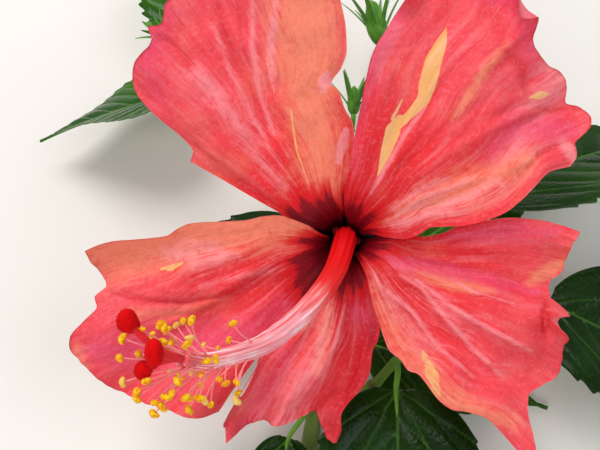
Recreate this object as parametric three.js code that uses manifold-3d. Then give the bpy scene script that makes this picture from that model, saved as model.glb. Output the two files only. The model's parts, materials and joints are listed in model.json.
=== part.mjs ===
// A cut flowering branch of hibiscus, lying down: a woody stem with two side twigs, nine toothed
// leaves, one wide open five-petalled bloom with its long column of stamens, and three green buds.
// Millimetres, +Z up. The branch lies on the ground with its cut end towards -Y, and the bloom stands
// over the middle of the stem and leans back towards the cut end.
import * as THREE from "three";
import { mergeVertices } from "three/addons/utils/BufferGeometryUtils.js";
import Module from "manifold-3d";

const wasm = await Module();
wasm.setup();

// Clearances and blade thicknesses
const GAP = 0.3;
const LEAF_THICK = 0.9;
const PETAL_THICK = 0.9;
const BRACT_THICK = 0.7;

// The bloom's own frame: its foot on the flower stalk, and the lean of its axis
const BLOOM_FOOT = new THREE.Vector3(0, 0, 40);
const BLOOM_LEAN_BACK = 23.6;
const BLOOM_LEAN_LEFT = 4.2;

// The bloom's funnel: claw ring radius, straight tube, flare, and the slope of the spread petals
const CLAW_RADIUS = 4.5;
const CLAW_HALF_ANGLE = 30;
const CLAW_FOOT = 0.3;
const CLAW_STEADY = 1.5;
const TUBE_LENGTH = 8;
const FLARE_END = 32;
const TUBE_SLOPE = 6;
const SPREAD_SLOPE = 89;
const PROFILE_STEP = 0.5;
const PROFILE_LENGTH = 120;

// How far a petal's edge is lifted over, or sunk under, its neighbour's, near the claws and far out
const LAP_NEAR = 0.95;
const LAP_FAR = 2.6;
const LAP_START = 10;
const LAP_FULL = 42;
const LAP_FREE = 4;
const LAP_EASE = 7;

// A petal's rise: the radius at which its lift is whole, and the shares of its length from which its
// margin curls back and its ruffle grows
const LIFT_RADIUS = 80;
const REFLEX_START = 0.62;
const RUFFLE_START = 0.3;

// Each petal: the directions of its two side edges (degrees, anticlockwise from the viewer's right)
// at four distances from the bloom's axis, whether those edges lie over (1) or under (-1) their
// neighbours, and its outer margin as [direction, length] pairs.
const EDGE_STATIONS = [12, 25, 45, 62];
const PETALS = [
  {
    name: "petal_upper_left",
    clockwise: [88, 85.5, 93.5, 90],
    anticlockwise: [163, 157, 153.5, 153],
    laps: [-1, -1],
    margin: [
      [90, 66], [97, 77], [108, 84], [118, 85], [126, 83], [130, 81], [133.5, 77.5], [139.5, 76.5],
      [143, 75.5], [145, 72], [146.7, 64], [147.6, 55], [150, 50.5], [153, 50],
    ],
    lift: 7, reflex: 1, ruffle: 2.2, waves: 3.2, phase: 0.4,
  },
  {
    name: "petal_upper_right",
    clockwise: [6, 5, 9.5, 19],
    anticlockwise: [91, 86, 82, 78.5],
    laps: [1, 1],
    margin: [
      [19, 62], [20.5, 68.5], [23, 70], [25, 76], [27.5, 78.5], [30, 77], [32, 75], [36, 77.5],
      [40, 75.5], [44, 74.5], [47.5, 76], [50, 84], [53, 85], [62, 82], [71, 79], [78.5, 70],
    ],
    lift: 4, reflex: 6, ruffle: 2.6, waves: 3.6, phase: 2.1,
  },
  {
    name: "petal_right",
    clockwise: [-60, -67, -61, -55],
    anticlockwise: [12, 6, 8, 4],
    laps: [1, -1],
    margin: [
      [-55, 57], [-51.5, 64], [-50.5, 74], [-49.5, 77], [-47.5, 75.5], [-44, 69], [-40, 66.5],
      [-36, 68.5], [-33, 70], [-29, 68], [-25.5, 66], [-21, 67], [-18, 64.5], [-15, 60], [-12, 59],
      [-9, 62], [-3, 62.5], [1.5, 64.5], [4, 60],
    ],
    lift: 2, reflex: 4, ruffle: 2.4, waves: 4.4, phase: 0.9,
  },
  {
    name: "petal_lower",
    clockwise: [-124, -124, -125, -124.5],
    anticlockwise: [-60, -68.5, -84, -84],
    laps: [1, -1],
    margin: [
      [-124.5, 58], [-122, 64], [-120, 66.5], [-118, 62], [-113.5, 58], [-109, 56], [-104, 52.5],
      [-100.5, 51], [-97.5, 54], [-95, 57.5], [-92.5, 58.5], [-90.5, 54], [-91, 48], [-88, 46], [-84, 42],
    ],
    lift: 0, reflex: 6, ruffle: 2.4, waves: 4.0, phase: 1.7,
  },
  {
    name: "petal_left",
    clockwise: [160, 165, 176, 182],
    anticlockwise: [235, 233.5, 233, 234],
    laps: [1, -1],
    margin: [
      [182, 71], [184.5, 72], [187.5, 70], [190.5, 68.5], [193, 72], [196, 74], [199.5, 80],
      [202, 81.5], [205, 80], [207.5, 79], [211, 78], [215, 76], [219.5, 72], [224, 69],
      [229, 66], [234, 60],
    ],
    lift: 7, reflex: 2, ruffle: 2.4, waves: 4.2, phase: 2.9,
  },
];
const PETAL_ROWS = 10;
const PETAL_COLUMNS = 18;
const PETAL_ROW_CROWDING = 1.35;

// The column of stamens, as points in the bloom's frame from its foot to its tip
const COLUMN_PATH = [
  [0, 0, GAP], [0, 0.5, 9], [0, 0.2, 18], [-2.7, -8, 31], [-7.3, -14.6, 46],
  [-12.3, -19, 58], [-17.1, -21.6, 69], [-21, -22, 78], [-25, -21.8, 86], [-27.8, -20.2, 92],
];
const COLUMN_RADIUS_FOOT = 3.3;
const COLUMN_RADIUS_TIP = 1.3;
const COLUMN_TAPER = 1.6;
const COLUMN_ROWS = 22;
const COLUMN_SIDES = 10;
const STAMEN_COUNT = 40;
const STAMEN_FROM = 0.68;
const STAMEN_TO = 0.95;
const STAMEN_CROWDING = 0.8;
const STAMEN_TURN = 137.508;
const STAMEN_LEAN = [0.1, 0.75];
const STAMEN_LENGTH = [7.5, 11.5];
const STAMEN_TIP_SHARE = 0.8;
const FILAMENT_RADIUS = 0.32;
const ANTHER_RADIUS = 1.05;
const ANTHER_HOLD = 0.3;

// The five stigma pads on their style branches, in the bloom's frame
const STIGMA_PADS = [
  [-34.3, -13, 99], [-29.3, -17.7, 101], [-32.7, -21.2, 96], [-33.4, -22, 91.2], [-36.7, -14, 92],
];
const STIGMA_RADIUS = 1.8;
const STYLE_RADIUS = 0.62;
const STYLE_TRUNK_LENGTH = 1.6;
const STYLE_TRUNK_RADIUS = 1.1;
const STYLE_ROOT = 0.4;
const STYLE_BEND = 0.45;

// Calyx, epicalyx and flower stalk
const CALYX_THICK = 0.9;
const CALYX_NOTCH = 13;
const CALYX_POINT = 24;
const CALYX_BOTTOM = -3;
const CALYX_SEGMENTS = 40;
const CALYX_LOBES = 5;
const CALYX_LOBE_CURVE = 0.8;
const CALYX_LAP_ROOM = 1.1;
const CALYX_FLOOR_SHARE = 0.92;
const CALYX_FOOT_SHARE = 0.75;
const EPICALYX_COUNT = 7;
const EPICALYX_LENGTH = 12;
const EPICALYX_WIDTH = 2.6;
const EPICALYX_SPREAD = 1.1;
const EPICALYX_FOOT = [4.4, -4.4];
const COLLAR_RADIUS = 5;
const COLLAR_RIM = 1.5;
const COLLAR_DEPTH = 1.9;
const COLLAR_SIDES = 20;
const STALK_PATH = [[-4, -8.5, 3], [-3.6, 4.5, 10], [-1.2, 12, 22], [1, 8, 32.5]];
const STALK_RADIUS = 1.6;
const STALK_STRAIGHT = 5;
const STALK_ROWS = 14;

// A bract's bend and tip as shares of its length along and away from its axis, and its outline
const BRACT_BEND = [0.45, 0.35];
const BRACT_TIP = [0.8, 1];
const BRACT_FOOT_WIDTH = 0.12;
const BRACT_WIDEST = 0.2;
const BRACT_FULLNESS = 0.8;

// The woody stem and its side twigs: points on the centre line and the radius at each
const LIMB_SIDES = 10;
const LIMB_STEPS = 3;
const STEM = {
  name: "stem",
  path: [
    [-27, -152, 3.4], [-19, -108, 3.2], [-12, -62, 3], [-4.5, -18, 2.7],
    [3, 22, 2.3], [6, 48, 2.6], [7, 64, 4],
  ],
  radii: [3.4, 3.2, 3, 2.6, 2.2, 1.7, 1.2],
};
const LEFT_TWIG = {
  name: "left_twig",
  path: [[2.4, 24, 2.6], [-14, 44, 7], [-33, 60, 12.5], [-50, 78, 17]],
  radii: [1.9, 1.6, 1.3, 1],
};
const RIGHT_TWIG = {
  name: "right_twig",
  path: [[-9.4, -47, 3], [7.4, -41.7, 9], [18.3, -31.7, 12], [35, -17, 14], [50, -2, 16]],
  radii: [2, 1.85, 1.65, 1.35, 1.1],
};

// Leaves: the limb that carries each, how far along it, the blade's base and tip, and its form
const LEAVES = [
  {
    name: "leaf_01", on: LEFT_TWIG, at: 0.97,
    base: [-48, 98, 20], tip: [-80, 166, 0.8], width: 46, arch: 8, roll: 0,
  },
  {
    name: "leaf_02", on: LEFT_TWIG, at: 0.74,
    base: [-54, 73, 22], tip: [-117, 55, 12], width: 44, arch: 3, roll: 36,
  },
  {
    name: "leaf_03", on: STEM, at: 0.81,
    base: [25, 9, 11], tip: [82, 46, 2], width: 42, arch: 2, roll: -6,
  },
  {
    name: "leaf_04", on: RIGHT_TWIG, at: 0.97,
    base: [54, 25, 22], tip: [130, 59, 6], width: 50, arch: 8, roll: -24,
  },
  {
    name: "leaf_05", on: RIGHT_TWIG, at: 0.8,
    base: [70, -14, 18], tip: [134, -52, 0.8], width: 50, arch: 8, roll: -8,
  },
  {
    name: "leaf_06", on: STEM, at: 0.76,
    base: [-13, 18, 10.5], tip: [-67, -41.5, 0.8], width: 44, arch: 8, roll: 6,
  },
  {
    name: "leaf_07", on: RIGHT_TWIG, at: 0.43,
    base: [16, -43, 21], tip: [12, -128, 0.8], width: 50, arch: 8, roll: 4,
  },
  {
    name: "leaf_08", on: STEM, at: 0.62,
    base: [10.5, -24, 3.6], tip: [70, -46, 2], width: 34, arch: 1.5, roll: 0,
  },
  {
    name: "leaf_09", on: STEM, at: 0.5,
    base: [-18, -56.5, 10], tip: [-28, -98, 3], width: 22, arch: 4, roll: -6,
  },
];
const LEAF_ROWS = 12;
const LEAF_COLUMNS = 4;
const LEAF_FOLD = 0.16;
const LEAF_WAVE = 1.6;
const LEAF_WAVE_TURNS = 9;
const LEAF_WAVE_SLANT = 1.4;
const LEAF_ENDS = [0.012, 0.985];
const LEAF_WIDEST = 0.62;
const LEAF_FULLNESS = [0.8, 1.5];
const LEAF_NARROWEST = 0.03;
const TOOTH_DEPTH = 0.09;
const TOOTH_NOTCH = 0.6;
const TOOTH_EDGE = 6;
const TOOTHED_FROM = 0.3;
const TOOTHED_TO = 0.95;
const PETIOLE_RADIUS = 1.05;
const PETIOLE_TAPER = [1.15, 0.75];
const PETIOLE_RISE = 4.2;
const PETIOLE_INSIDE = 0.1;
const PETIOLE_STEPS = 8;
const PETIOLE_SIDES = 6;

// Buds: the limb that carries each, the bud's foot and direction, and its size
const BUDS = [
  {
    name: "bud_top", on: STEM, at: 0.9,
    foot: [19, 98, 19], aim: [-0.22, 0.88, 0.42],
    length: 19, bracts: 9, bractLength: 27, stalk: 1,
  },
  {
    name: "bud_tip", on: STEM, at: 1,
    foot: [7.8, 71, 7.2], aim: [0.02, 0.86, 0.5],
    length: 12, bracts: 6, bractLength: 25, stalk: 1.1,
  },
  {
    name: "bud_left", on: LEFT_TWIG, at: 0.9,
    foot: [-66, 90, 31], aim: [-0.75, 0.35, 0.55],
    length: 10, bracts: 6, bractLength: 14, stalk: 0.9,
  },
];

// A bud's heart: its radius at its foot and its swell as shares of its length, and its bracts
const BUD_SEAT = 2;
const BUD_FOOT_SHARE = 0.08;
const BUD_SWELL_SHARE = 0.14;
const BUD_SWELL_PLACE = 0.7;
const BUD_STEPS = 6;
const BUD_SIDES = 8;
const BUD_STALK_SIDES = 6;
const BUD_BRACT_WIDTH = 2.3;
const BUD_BRACT_START = 0.3;
const BUD_BRACT_OFFSET = 0.8;
const BUD_BRACT_LENGTHS = [0.75, 1];
const BUD_BRACT_SPREADS = [0.35, 0.75];

// Colours
const material = (color, roughness) => (
  new THREE.MeshStandardMaterial({ color, roughness, metalness: 0 })
);
const MATERIALS = {
  petal: material(0xd9404a, 0.5),
  column: material(0xe0525c, 0.5),
  stigma: material(0xc3040c, 0.8),
  calyx: material(0x6f9a3a, 0.6),
  leaf: material(0x24501c, 0.35),
  stem: material(0x6d7a45, 0.8),
  bud: material(0x5f9430, 0.55),
};

const DEG = Math.PI / 180;
const vec = (p) => new THREE.Vector3(...p);
const lerp = (a, b, t) => a + (b - a) * t;

// Eases from 0 to 1 as x does
const smooth = (x) => {
  const t = Math.min(1, Math.max(0, x));
  return t * t * (3 - 2 * t);
};

// A steady value from 0 to 1 for each whole number
const scatter = (n, salt) => {
  const s = Math.sin(n * 12.9898 + salt * 78.233) * 43758.5453;
  return s - Math.floor(s);
};

// How far the petals have spread at a distance along them: 0 in the tube, 1 once open
const spreadAt = (s) => smooth((s - TUBE_LENGTH) / (FLARE_END - TUBE_LENGTH));
const slopeAt = (s) => lerp(TUBE_SLOPE, SPREAD_SLOPE, spreadAt(s)) * DEG;

// A value read from rising [place, value] pairs, eased from each to the next
function eased(pairs, x) {
  if (x <= pairs[0][0]) return pairs[0][1];
  for (let i = 1; i < pairs.length; i++) {
    if (x <= pairs[i][0]) {
      const [x0, y0] = pairs[i - 1];
      return lerp(y0, pairs[i][1], smooth((x - x0) / (pairs[i][0] - x0)));
    }
  }
  return pairs[pairs.length - 1][1];
}

// Geometry and solids
function geometryOf(points, triangles) {
  const g = new THREE.BufferGeometry();
  g.setAttribute("position", new THREE.Float32BufferAttribute(points.flatMap((p) => [p.x, p.y, p.z]), 3));
  g.setIndex(triangles.flat());
  return g;
}

function solidOf(geometry) {
  const bare = geometry.clone();
  bare.deleteAttribute("normal");
  bare.deleteAttribute("uv");
  const merged = mergeVertices(bare, 1e-4);
  const solid = new wasm.Manifold(
    new wasm.Mesh({
      numProp: 3,
      vertProperties: new Float32Array(merged.attributes.position.array),
      triVerts: new Uint32Array(merged.index.array),
    }),
  );
  return solid;
}

function geometryOfSolid(solid) {
  const mesh = solid.getMesh();
  const g = new THREE.BufferGeometry();
  g.setAttribute("position", new THREE.BufferAttribute(new Float32Array(mesh.vertProperties), 3));
  g.setIndex(new THREE.BufferAttribute(new Uint32Array(mesh.triVerts), 1));
  g.computeVertexNormals();
  return g;
}

const joined = (solids) => solids.reduce((whole, s) => whole.add(s));

// The largest of a solid's separate bodies, without loose scraps
function largestBody(solid) {
  return solid.decompose().reduce((best, b) => (b.volume() > best.volume() ? b : best));
}

// A closed blade from a grid of middle points and normals: rows x columns, given a thickness
function bladeGeometry(rows, columns, thickness, pointAt, normalAt) {
  const points = [];
  for (const side of [0.5, -0.5]) {
    for (let i = 0; i <= rows; i++) {
      for (let j = 0; j <= columns; j++) {
        const n = normalAt(i / rows, (2 * j) / columns - 1);
        points.push(pointAt(i / rows, (2 * j) / columns - 1).addScaledVector(n, side * thickness));
      }
    }
  }
  const layer = (rows + 1) * (columns + 1);
  const at = (i, j, k) => k * layer + i * (columns + 1) + j;
  const triangles = [];
  const quad = (a, b, c, d) => triangles.push([a, b, c], [a, c, d]);
  for (let i = 0; i < rows; i++) {
    for (let j = 0; j < columns; j++) {
      quad(at(i, j, 0), at(i, j + 1, 0), at(i + 1, j + 1, 0), at(i + 1, j, 0));
      quad(at(i, j, 1), at(i + 1, j, 1), at(i + 1, j + 1, 1), at(i, j + 1, 1));
    }
    quad(at(i, 0, 0), at(i + 1, 0, 0), at(i + 1, 0, 1), at(i, 0, 1));
    quad(at(i, columns, 0), at(i, columns, 1), at(i + 1, columns, 1), at(i + 1, columns, 0));
  }
  for (let j = 0; j < columns; j++) {
    quad(at(0, j, 0), at(0, j, 1), at(0, j + 1, 1), at(0, j + 1, 0));
    quad(at(rows, j, 0), at(rows, j + 1, 0), at(rows, j + 1, 1), at(rows, j, 1));
  }
  return outward(geometryOf(points, triangles));
}

// Turns a geometry's faces outwards if it came out inside out
function outward(geometry) {
  const p = geometry.attributes.position;
  const index = geometry.index.array;
  const corners = [new THREE.Vector3(), new THREE.Vector3(), new THREE.Vector3()];
  let volume = 0;
  for (let i = 0; i < index.length; i += 3) {
    corners.forEach((c, k) => c.fromBufferAttribute(p, index[i + k]));
    volume += corners[0].dot(corners[1].cross(corners[2]));
  }
  if (volume < 0) {
    for (let i = 0; i < index.length; i += 3) {
      [index[i + 1], index[i + 2]] = [index[i + 2], index[i + 1]];
    }
  }
  return geometry;
}

// One tapering limb along a smooth curve, closed by a flat face at each end
function limbGeometry(curve, radiusAt, steps, sides) {
  const frames = curve.computeFrenetFrames(steps, false);
  const points = [];
  for (let i = 0; i <= steps; i++) {
    const centre = curve.getPointAt(i / steps);
    for (let k = 0; k < sides; k++) {
      const a = (k / sides) * 2 * Math.PI;
      const out = frames.normals[i].clone().multiplyScalar(Math.cos(a));
      out.addScaledVector(frames.binormals[i], Math.sin(a));
      points.push(centre.clone().addScaledVector(out, radiusAt(i / steps)));
    }
  }
  const triangles = [];
  for (let i = 0; i < steps; i++) {
    for (let k = 0; k < sides; k++) {
      const a = i * sides + k;
      const b = i * sides + ((k + 1) % sides);
      triangles.push([a, b, b + sides], [a, b + sides, a + sides]);
    }
  }
  const last = steps * sides;
  for (let k = 1; k < sides - 1; k++) {
    triangles.push([0, k + 1, k], [last, last + k, last + k + 1]);
  }
  return outward(geometryOf(points, triangles));
}

const curveOf = (path) => new THREE.CatmullRomCurve3(path.map(vec), false, "centripetal");
const radiusAlong = (radii) => (u) => {
  const x = Math.min(u, 0.9999) * (radii.length - 1);
  const i = Math.floor(x);
  return lerp(radii[i], radii[i + 1], x - i);
};

// A woody limb as a solid, grown by a margin where a neighbour is cut to clear it
function limbSolid(limb, margin = 0) {
  const radiusAt = radiusAlong(limb.radii);
  const steps = (limb.path.length - 1) * LIMB_STEPS;
  return solidOf(limbGeometry(curveOf(limb.path), (u) => radiusAt(u) + margin, steps, LIMB_SIDES));
}

// What is left of a solid once its foot is cut just clear of the limb that carries it
const clearOf = (solid, limb) => largestBody(solid.subtract(limbSolid(limb, GAP)));

// The bloom's funnel as rows of [distance along, radius, height]
const FUNNEL = (() => {
  const rows = [[0, CLAW_RADIUS, CLAW_FOOT]];
  for (let s = PROFILE_STEP; s <= PROFILE_LENGTH; s += PROFILE_STEP) {
    const [, r, z] = rows[rows.length - 1];
    rows.push([s, r + Math.sin(slopeAt(s)) * PROFILE_STEP, z + Math.cos(slopeAt(s)) * PROFILE_STEP]);
  }
  return rows;
})();

function funnelAt(s) {
  const x = Math.min(Math.max(s / PROFILE_STEP, 0), FUNNEL.length - 1.001);
  const i = Math.floor(x);
  const mix = (k) => lerp(FUNNEL[i][k], FUNNEL[i + 1][k], x - i);
  return { radius: mix(1), height: mix(2) };
}

// The distance along the funnel at which it reaches a radius
function funnelReach(radius) {
  const i = FUNNEL.findIndex((row) => row[1] >= radius);
  const [s0, r0] = FUNNEL[i - 1];
  return s0 + ((radius - r0) / (FUNNEL[i][1] - r0)) * PROFILE_STEP;
}

// The direction of a petal's side edge at a distance from the bloom's axis
function edgeDirection(petal, edge, radius) {
  const middle = (petal.clockwise[0] + petal.anticlockwise[0]) / 2;
  const claw = middle + (edge === "clockwise" ? -CLAW_HALF_ANGLE : CLAW_HALF_ANGLE);
  const pairs = [[CLAW_RADIUS, claw], [CLAW_RADIUS + CLAW_STEADY, claw]];
  EDGE_STATIONS.forEach((r, i) => pairs.push([r, petal[edge][i]]));
  return eased(pairs, radius);
}

// How far an edge is lapped at a distance along the petal
function lapAt(s) {
  const lap = lerp(LAP_NEAR, LAP_FAR, smooth((s - LAP_START) / (LAP_FULL - LAP_START)));
  return lap * smooth((s - LAP_FREE) / LAP_EASE);
}

// A point of a petal's middle surface: t runs from claw to margin, c from the clockwise edge (-1)
// to the anticlockwise edge (1)
function petalPoint(petal, t, c) {
  const share = (c + 1) / 2;
  const first = petal.margin[0][0];
  const last = petal.margin[petal.margin.length - 1][0];
  const length = eased(petal.margin, lerp(first, last, share));
  const s = t * funnelReach(length);
  const { radius, height } = funnelAt(s);
  const edges = ["clockwise", "anticlockwise"].map((edge) => edgeDirection(petal, edge, radius));
  const direction = lerp(edges[0], edges[1], share) * DEG;
  const lap = lapAt(s) * lerp(petal.laps[0], petal.laps[1], share);
  const outer = smooth((t - RUFFLE_START) / (1 - RUFFLE_START));
  const curled = smooth((t - REFLEX_START) / (1 - REFLEX_START));
  const rise =
    petal.lift * (radius / LIFT_RADIUS) ** 2 -
    petal.reflex * curled ** 2 +
    petal.ruffle * outer * Math.sin(petal.waves * Math.PI * share + petal.phase);
  const upright = 1 - spreadAt(s);
  const r = radius - lap * upright;
  const z = height + lap * (1 - upright) + rise;
  return new THREE.Vector3(r * Math.cos(direction), r * Math.sin(direction), z);
}

// The direction square to a surface at (t, c)
function surfaceNormal(pointAt, t, c) {
  const e = 0.004;
  const along = pointAt(Math.min(t + e, 1), c).sub(pointAt(Math.max(t - e, 0), c));
  const across = pointAt(t, Math.min(c + e, 1)).sub(pointAt(t, Math.max(c - e, -1)));
  return along.cross(across).normalize();
}

function petalSolid(petal) {
  const pointAt = (t, c) => petalPoint(petal, t ** PETAL_ROW_CROWDING, c);
  const normalAt = (t, c) => surfaceNormal(pointAt, t, c);
  return solidOf(bladeGeometry(PETAL_ROWS, PETAL_COLUMNS, PETAL_THICK, pointAt, normalAt));
}

// The column with its thread-like stalks and pollen heads, fused into one body
const COLUMN_CURVE = curveOf(COLUMN_PATH);
const columnRadius = (u) => lerp(COLUMN_RADIUS_FOOT, COLUMN_RADIUS_TIP, u ** COLUMN_TAPER);

function stamenEnd(k, count) {
  const u = lerp(STAMEN_FROM, STAMEN_TO, ((k + 0.5) / count) ** STAMEN_CROWDING);
  const root = COLUMN_CURVE.getPointAt(u);
  const ahead = COLUMN_CURVE.getTangentAt(u);
  const turn = k * STAMEN_TURN * DEG;
  const side = new THREE.Vector3(0, 0, 1).cross(ahead).normalize();
  const up = ahead.clone().cross(side);
  const out = side.multiplyScalar(Math.cos(turn)).addScaledVector(up, Math.sin(turn));
  const lean = lerp(...STAMEN_LEAN, scatter(k, 1));
  const aim = out.clone().addScaledVector(ahead, lean).normalize();
  const length = lerp(...STAMEN_LENGTH, scatter(k, 2)) * lerp(1, STAMEN_TIP_SHARE, u);
  return { root, aim, tip: root.clone().addScaledVector(aim, length) };
}

function columnSolid() {
  const body = solidOf(limbGeometry(COLUMN_CURVE, columnRadius, COLUMN_ROWS, COLUMN_SIDES));
  const pieces = [];
  for (let k = 0; k < STAMEN_COUNT; k++) {
    const { root, tip, aim } = stamenEnd(k, STAMEN_COUNT);
    const thread = new THREE.LineCurve3(root, tip.clone().addScaledVector(aim, ANTHER_HOLD));
    pieces.push(solidOf(limbGeometry(thread, () => FILAMENT_RADIUS, 1, 3)));
    const head = new THREE.OctahedronGeometry(ANTHER_RADIUS, 0);
    head.translate(tip.x, tip.y, tip.z);
    pieces.push(solidOf(mergedCopy(head)));
  }
  return largestBody(body.add(joined(pieces)));
}

function mergedCopy(geometry) {
  geometry.deleteAttribute("normal");
  geometry.deleteAttribute("uv");
  return mergeVertices(geometry, 1e-4);
}

// Five styles that part at the column's tip, each with a round pad
function stigmaSolid() {
  const tip = COLUMN_CURVE.getPointAt(1);
  const ahead = COLUMN_CURVE.getTangentAt(1);
  const start = tip.clone().addScaledVector(ahead, GAP);
  const fork = tip.clone().addScaledVector(ahead, STYLE_TRUNK_LENGTH);
  const trunk = new THREE.LineCurve3(start, fork);
  const pieces = [solidOf(limbGeometry(trunk, () => STYLE_TRUNK_RADIUS, 1, 8))];
  STIGMA_PADS.forEach((place) => {
    const pad = vec(place);
    const bend = fork.clone().addScaledVector(ahead, STYLE_BEND * fork.distanceTo(pad));
    const root = start.clone().lerp(fork, STYLE_ROOT);
    const style = new THREE.QuadraticBezierCurve3(root, bend, pad);
    pieces.push(solidOf(limbGeometry(style, () => STYLE_RADIUS, 3, 5)));
    const ball = new THREE.IcosahedronGeometry(STIGMA_RADIUS, 1);
    ball.translate(pad.x, pad.y, pad.z);
    pieces.push(solidOf(mergedCopy(ball)));
  });
  return largestBody(joined(pieces));
}

// A point [radius, height] outside the petals, as seen in the bloom's section
function outsideAt(s, out) {
  const { radius, height } = funnelAt(s);
  const off = PETAL_THICK / 2 + CALYX_LAP_ROOM * lapAt(s) + GAP + out;
  return [radius + off * Math.cos(slopeAt(s)), height - off * Math.sin(slopeAt(s))];
}

// A cup with five pointed lobes that hugs the bloom's tube
function calyxSolid() {
  const shares = [0.02, 0.3, 0.65, 1];
  const points = [];
  const rowLength = 2 * shares.length + 4;
  for (let k = 0; k < CALYX_SEGMENTS; k++) {
    const a = (k / CALYX_SEGMENTS) * 2 * Math.PI;
    const saw = Math.abs(((k / CALYX_SEGMENTS) * CALYX_LOBES) % 1 - 0.5) * 2;
    const top = lerp(CALYX_NOTCH, CALYX_POINT, saw ** CALYX_LOBE_CURVE);
    const inner = shares.map((f) => outsideAt(f * top, 0));
    const outer = shares.map((f) => outsideAt(f * top, CALYX_THICK)).reverse();
    const foot = outsideAt(0, 0)[0];
    const floor = [[0, 0], [foot * CALYX_FLOOR_SHARE, 0]];
    const underside = [[foot * CALYX_FOOT_SHARE, CALYX_BOTTOM], [0, CALYX_BOTTOM]];
    const section = [...floor, ...inner, ...outer, ...underside];
    section.forEach(([r, z]) => points.push(new THREE.Vector3(r * Math.cos(a), r * Math.sin(a), z)));
  }
  const triangles = [];
  for (let k = 0; k < CALYX_SEGMENTS; k++) {
    const next = (k + 1) % CALYX_SEGMENTS;
    for (let i = 0; i < rowLength - 1; i++) {
      const [a, b] = [k * rowLength + i, next * rowLength + i];
      if (i > 0) triangles.push([a, b, b + 1]);
      if (i < rowLength - 2) triangles.push([a, b + 1, a + 1]);
    }
  }
  return solidOf(withoutSlivers(outward(mergeVertices(geometryOf(points, triangles), 1e-3))));
}

// Drops faces whose corners were merged into one
function withoutSlivers(geometry) {
  const index = geometry.index.array;
  const kept = [];
  for (let i = 0; i < index.length; i += 3) {
    const [a, b, c] = [index[i], index[i + 1], index[i + 2]];
    if (a !== b && b !== c && c !== a) kept.push(a, b, c);
  }
  geometry.setIndex(kept);
  return geometry;
}

// A narrow pointed bract that leaves an axis at a foot point and bends outwards
function bractSolid(foot, ahead, out, length, width, spread) {
  const placed = (up, across) => (
    foot.clone().addScaledVector(ahead, length * up).addScaledVector(out, length * spread * across)
  );
  const bend = placed(...BRACT_BEND);
  const tip = placed(...BRACT_TIP);
  const curve = new THREE.QuadraticBezierCurve3(foot, bend, tip);
  const side = ahead.clone().cross(out).normalize();
  const pointAt = (t, c) => {
    const swell = Math.sin(Math.PI * lerp(BRACT_WIDEST, 1, t)) ** BRACT_FULLNESS;
    const half = (width / 2) * lerp(BRACT_FOOT_WIDTH, 1, swell);
    return curve.getPoint(t).addScaledVector(side, c * half);
  };
  const normalAt = (t) => curve.getTangent(t).cross(side).normalize();
  return solidOf(bladeGeometry(4, 1, BRACT_THICK, pointAt, normalAt));
}

function ringDirections(axis, count, start = 0) {
  const side = new THREE.Vector3(1, 0.2, 0).cross(axis).normalize();
  const up = axis.clone().cross(side);
  return Array.from({ length: count }, (_, k) => {
    const a = start + (k / count) * 2 * Math.PI;
    return side.clone().multiplyScalar(Math.cos(a)).addScaledVector(up, Math.sin(a));
  });
}

// A collar of bracts round the foot of the calyx
function epicalyxSolid() {
  const axis = new THREE.Vector3(0, 0, 1);
  const hole = STALK_RADIUS + GAP;
  const top = CALYX_BOTTOM - GAP;
  const low = [hole, top - COLLAR_DEPTH];
  const section = [low, [COLLAR_RADIUS, top - COLLAR_RIM], [COLLAR_RADIUS, top], [hole, top], low];
  const profile = section.map((p) => new THREE.Vector2(...p));
  const collar = new THREE.LatheGeometry(profile, COLLAR_SIDES).rotateX(Math.PI / 2);
  const pieces = [solidOf(withoutSlivers(outward(mergedCopy(collar))))];
  ringDirections(axis, EPICALYX_COUNT).forEach((out) => {
    const foot = out.clone().multiplyScalar(EPICALYX_FOOT[0]).setZ(EPICALYX_FOOT[1]);
    pieces.push(bractSolid(foot, axis, out, EPICALYX_LENGTH, EPICALYX_WIDTH, EPICALYX_SPREAD));
  });
  return joined(pieces);
}

// A leaf: an ovate toothed blade fused to its stalk, which stops just clear of the limb
function leafForm(leaf) {
  const base = vec(leaf.base);
  const tip = vec(leaf.tip);
  const middle = base.clone().lerp(tip, 0.5).add(new THREE.Vector3(0, 0, 2 * leaf.arch));
  return new THREE.QuadraticBezierCurve3(base, middle, tip);
}

function leafFrame(leaf, curve, t) {
  const along = curve.getTangent(t);
  const side = new THREE.Vector3(0, 0, 1).cross(along).normalize();
  side.applyAxisAngle(along, leaf.roll * DEG);
  return { side, normal: along.clone().cross(side).normalize() };
}

function leafHalfWidth(leaf, t) {
  const place = Math.min(t + LEAF_ENDS[0], LEAF_ENDS[1]);
  const ovate = Math.sin(Math.PI * place ** LEAF_WIDEST) ** lerp(...LEAF_FULLNESS, t);
  return (leaf.width / 2) * Math.max(ovate, LEAF_NARROWEST);
}

function leafPoint(leaf, curve, t, c, tooth) {
  const { side, normal } = leafFrame(leaf, curve, t);
  const half = leafHalfWidth(leaf, t) * (1 + tooth * Math.abs(c) ** TOOTH_EDGE);
  const turn = t * LEAF_WAVE_TURNS + c * LEAF_WAVE_SLANT + leaf.width;
  const wave = LEAF_WAVE * Math.sin(turn) * c * c * Math.sin(Math.PI * t);
  const lift = LEAF_FOLD * Math.abs(c) * half + wave;
  return curve.getPoint(t).addScaledVector(side, c * half).addScaledVector(normal, lift);
}

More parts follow.
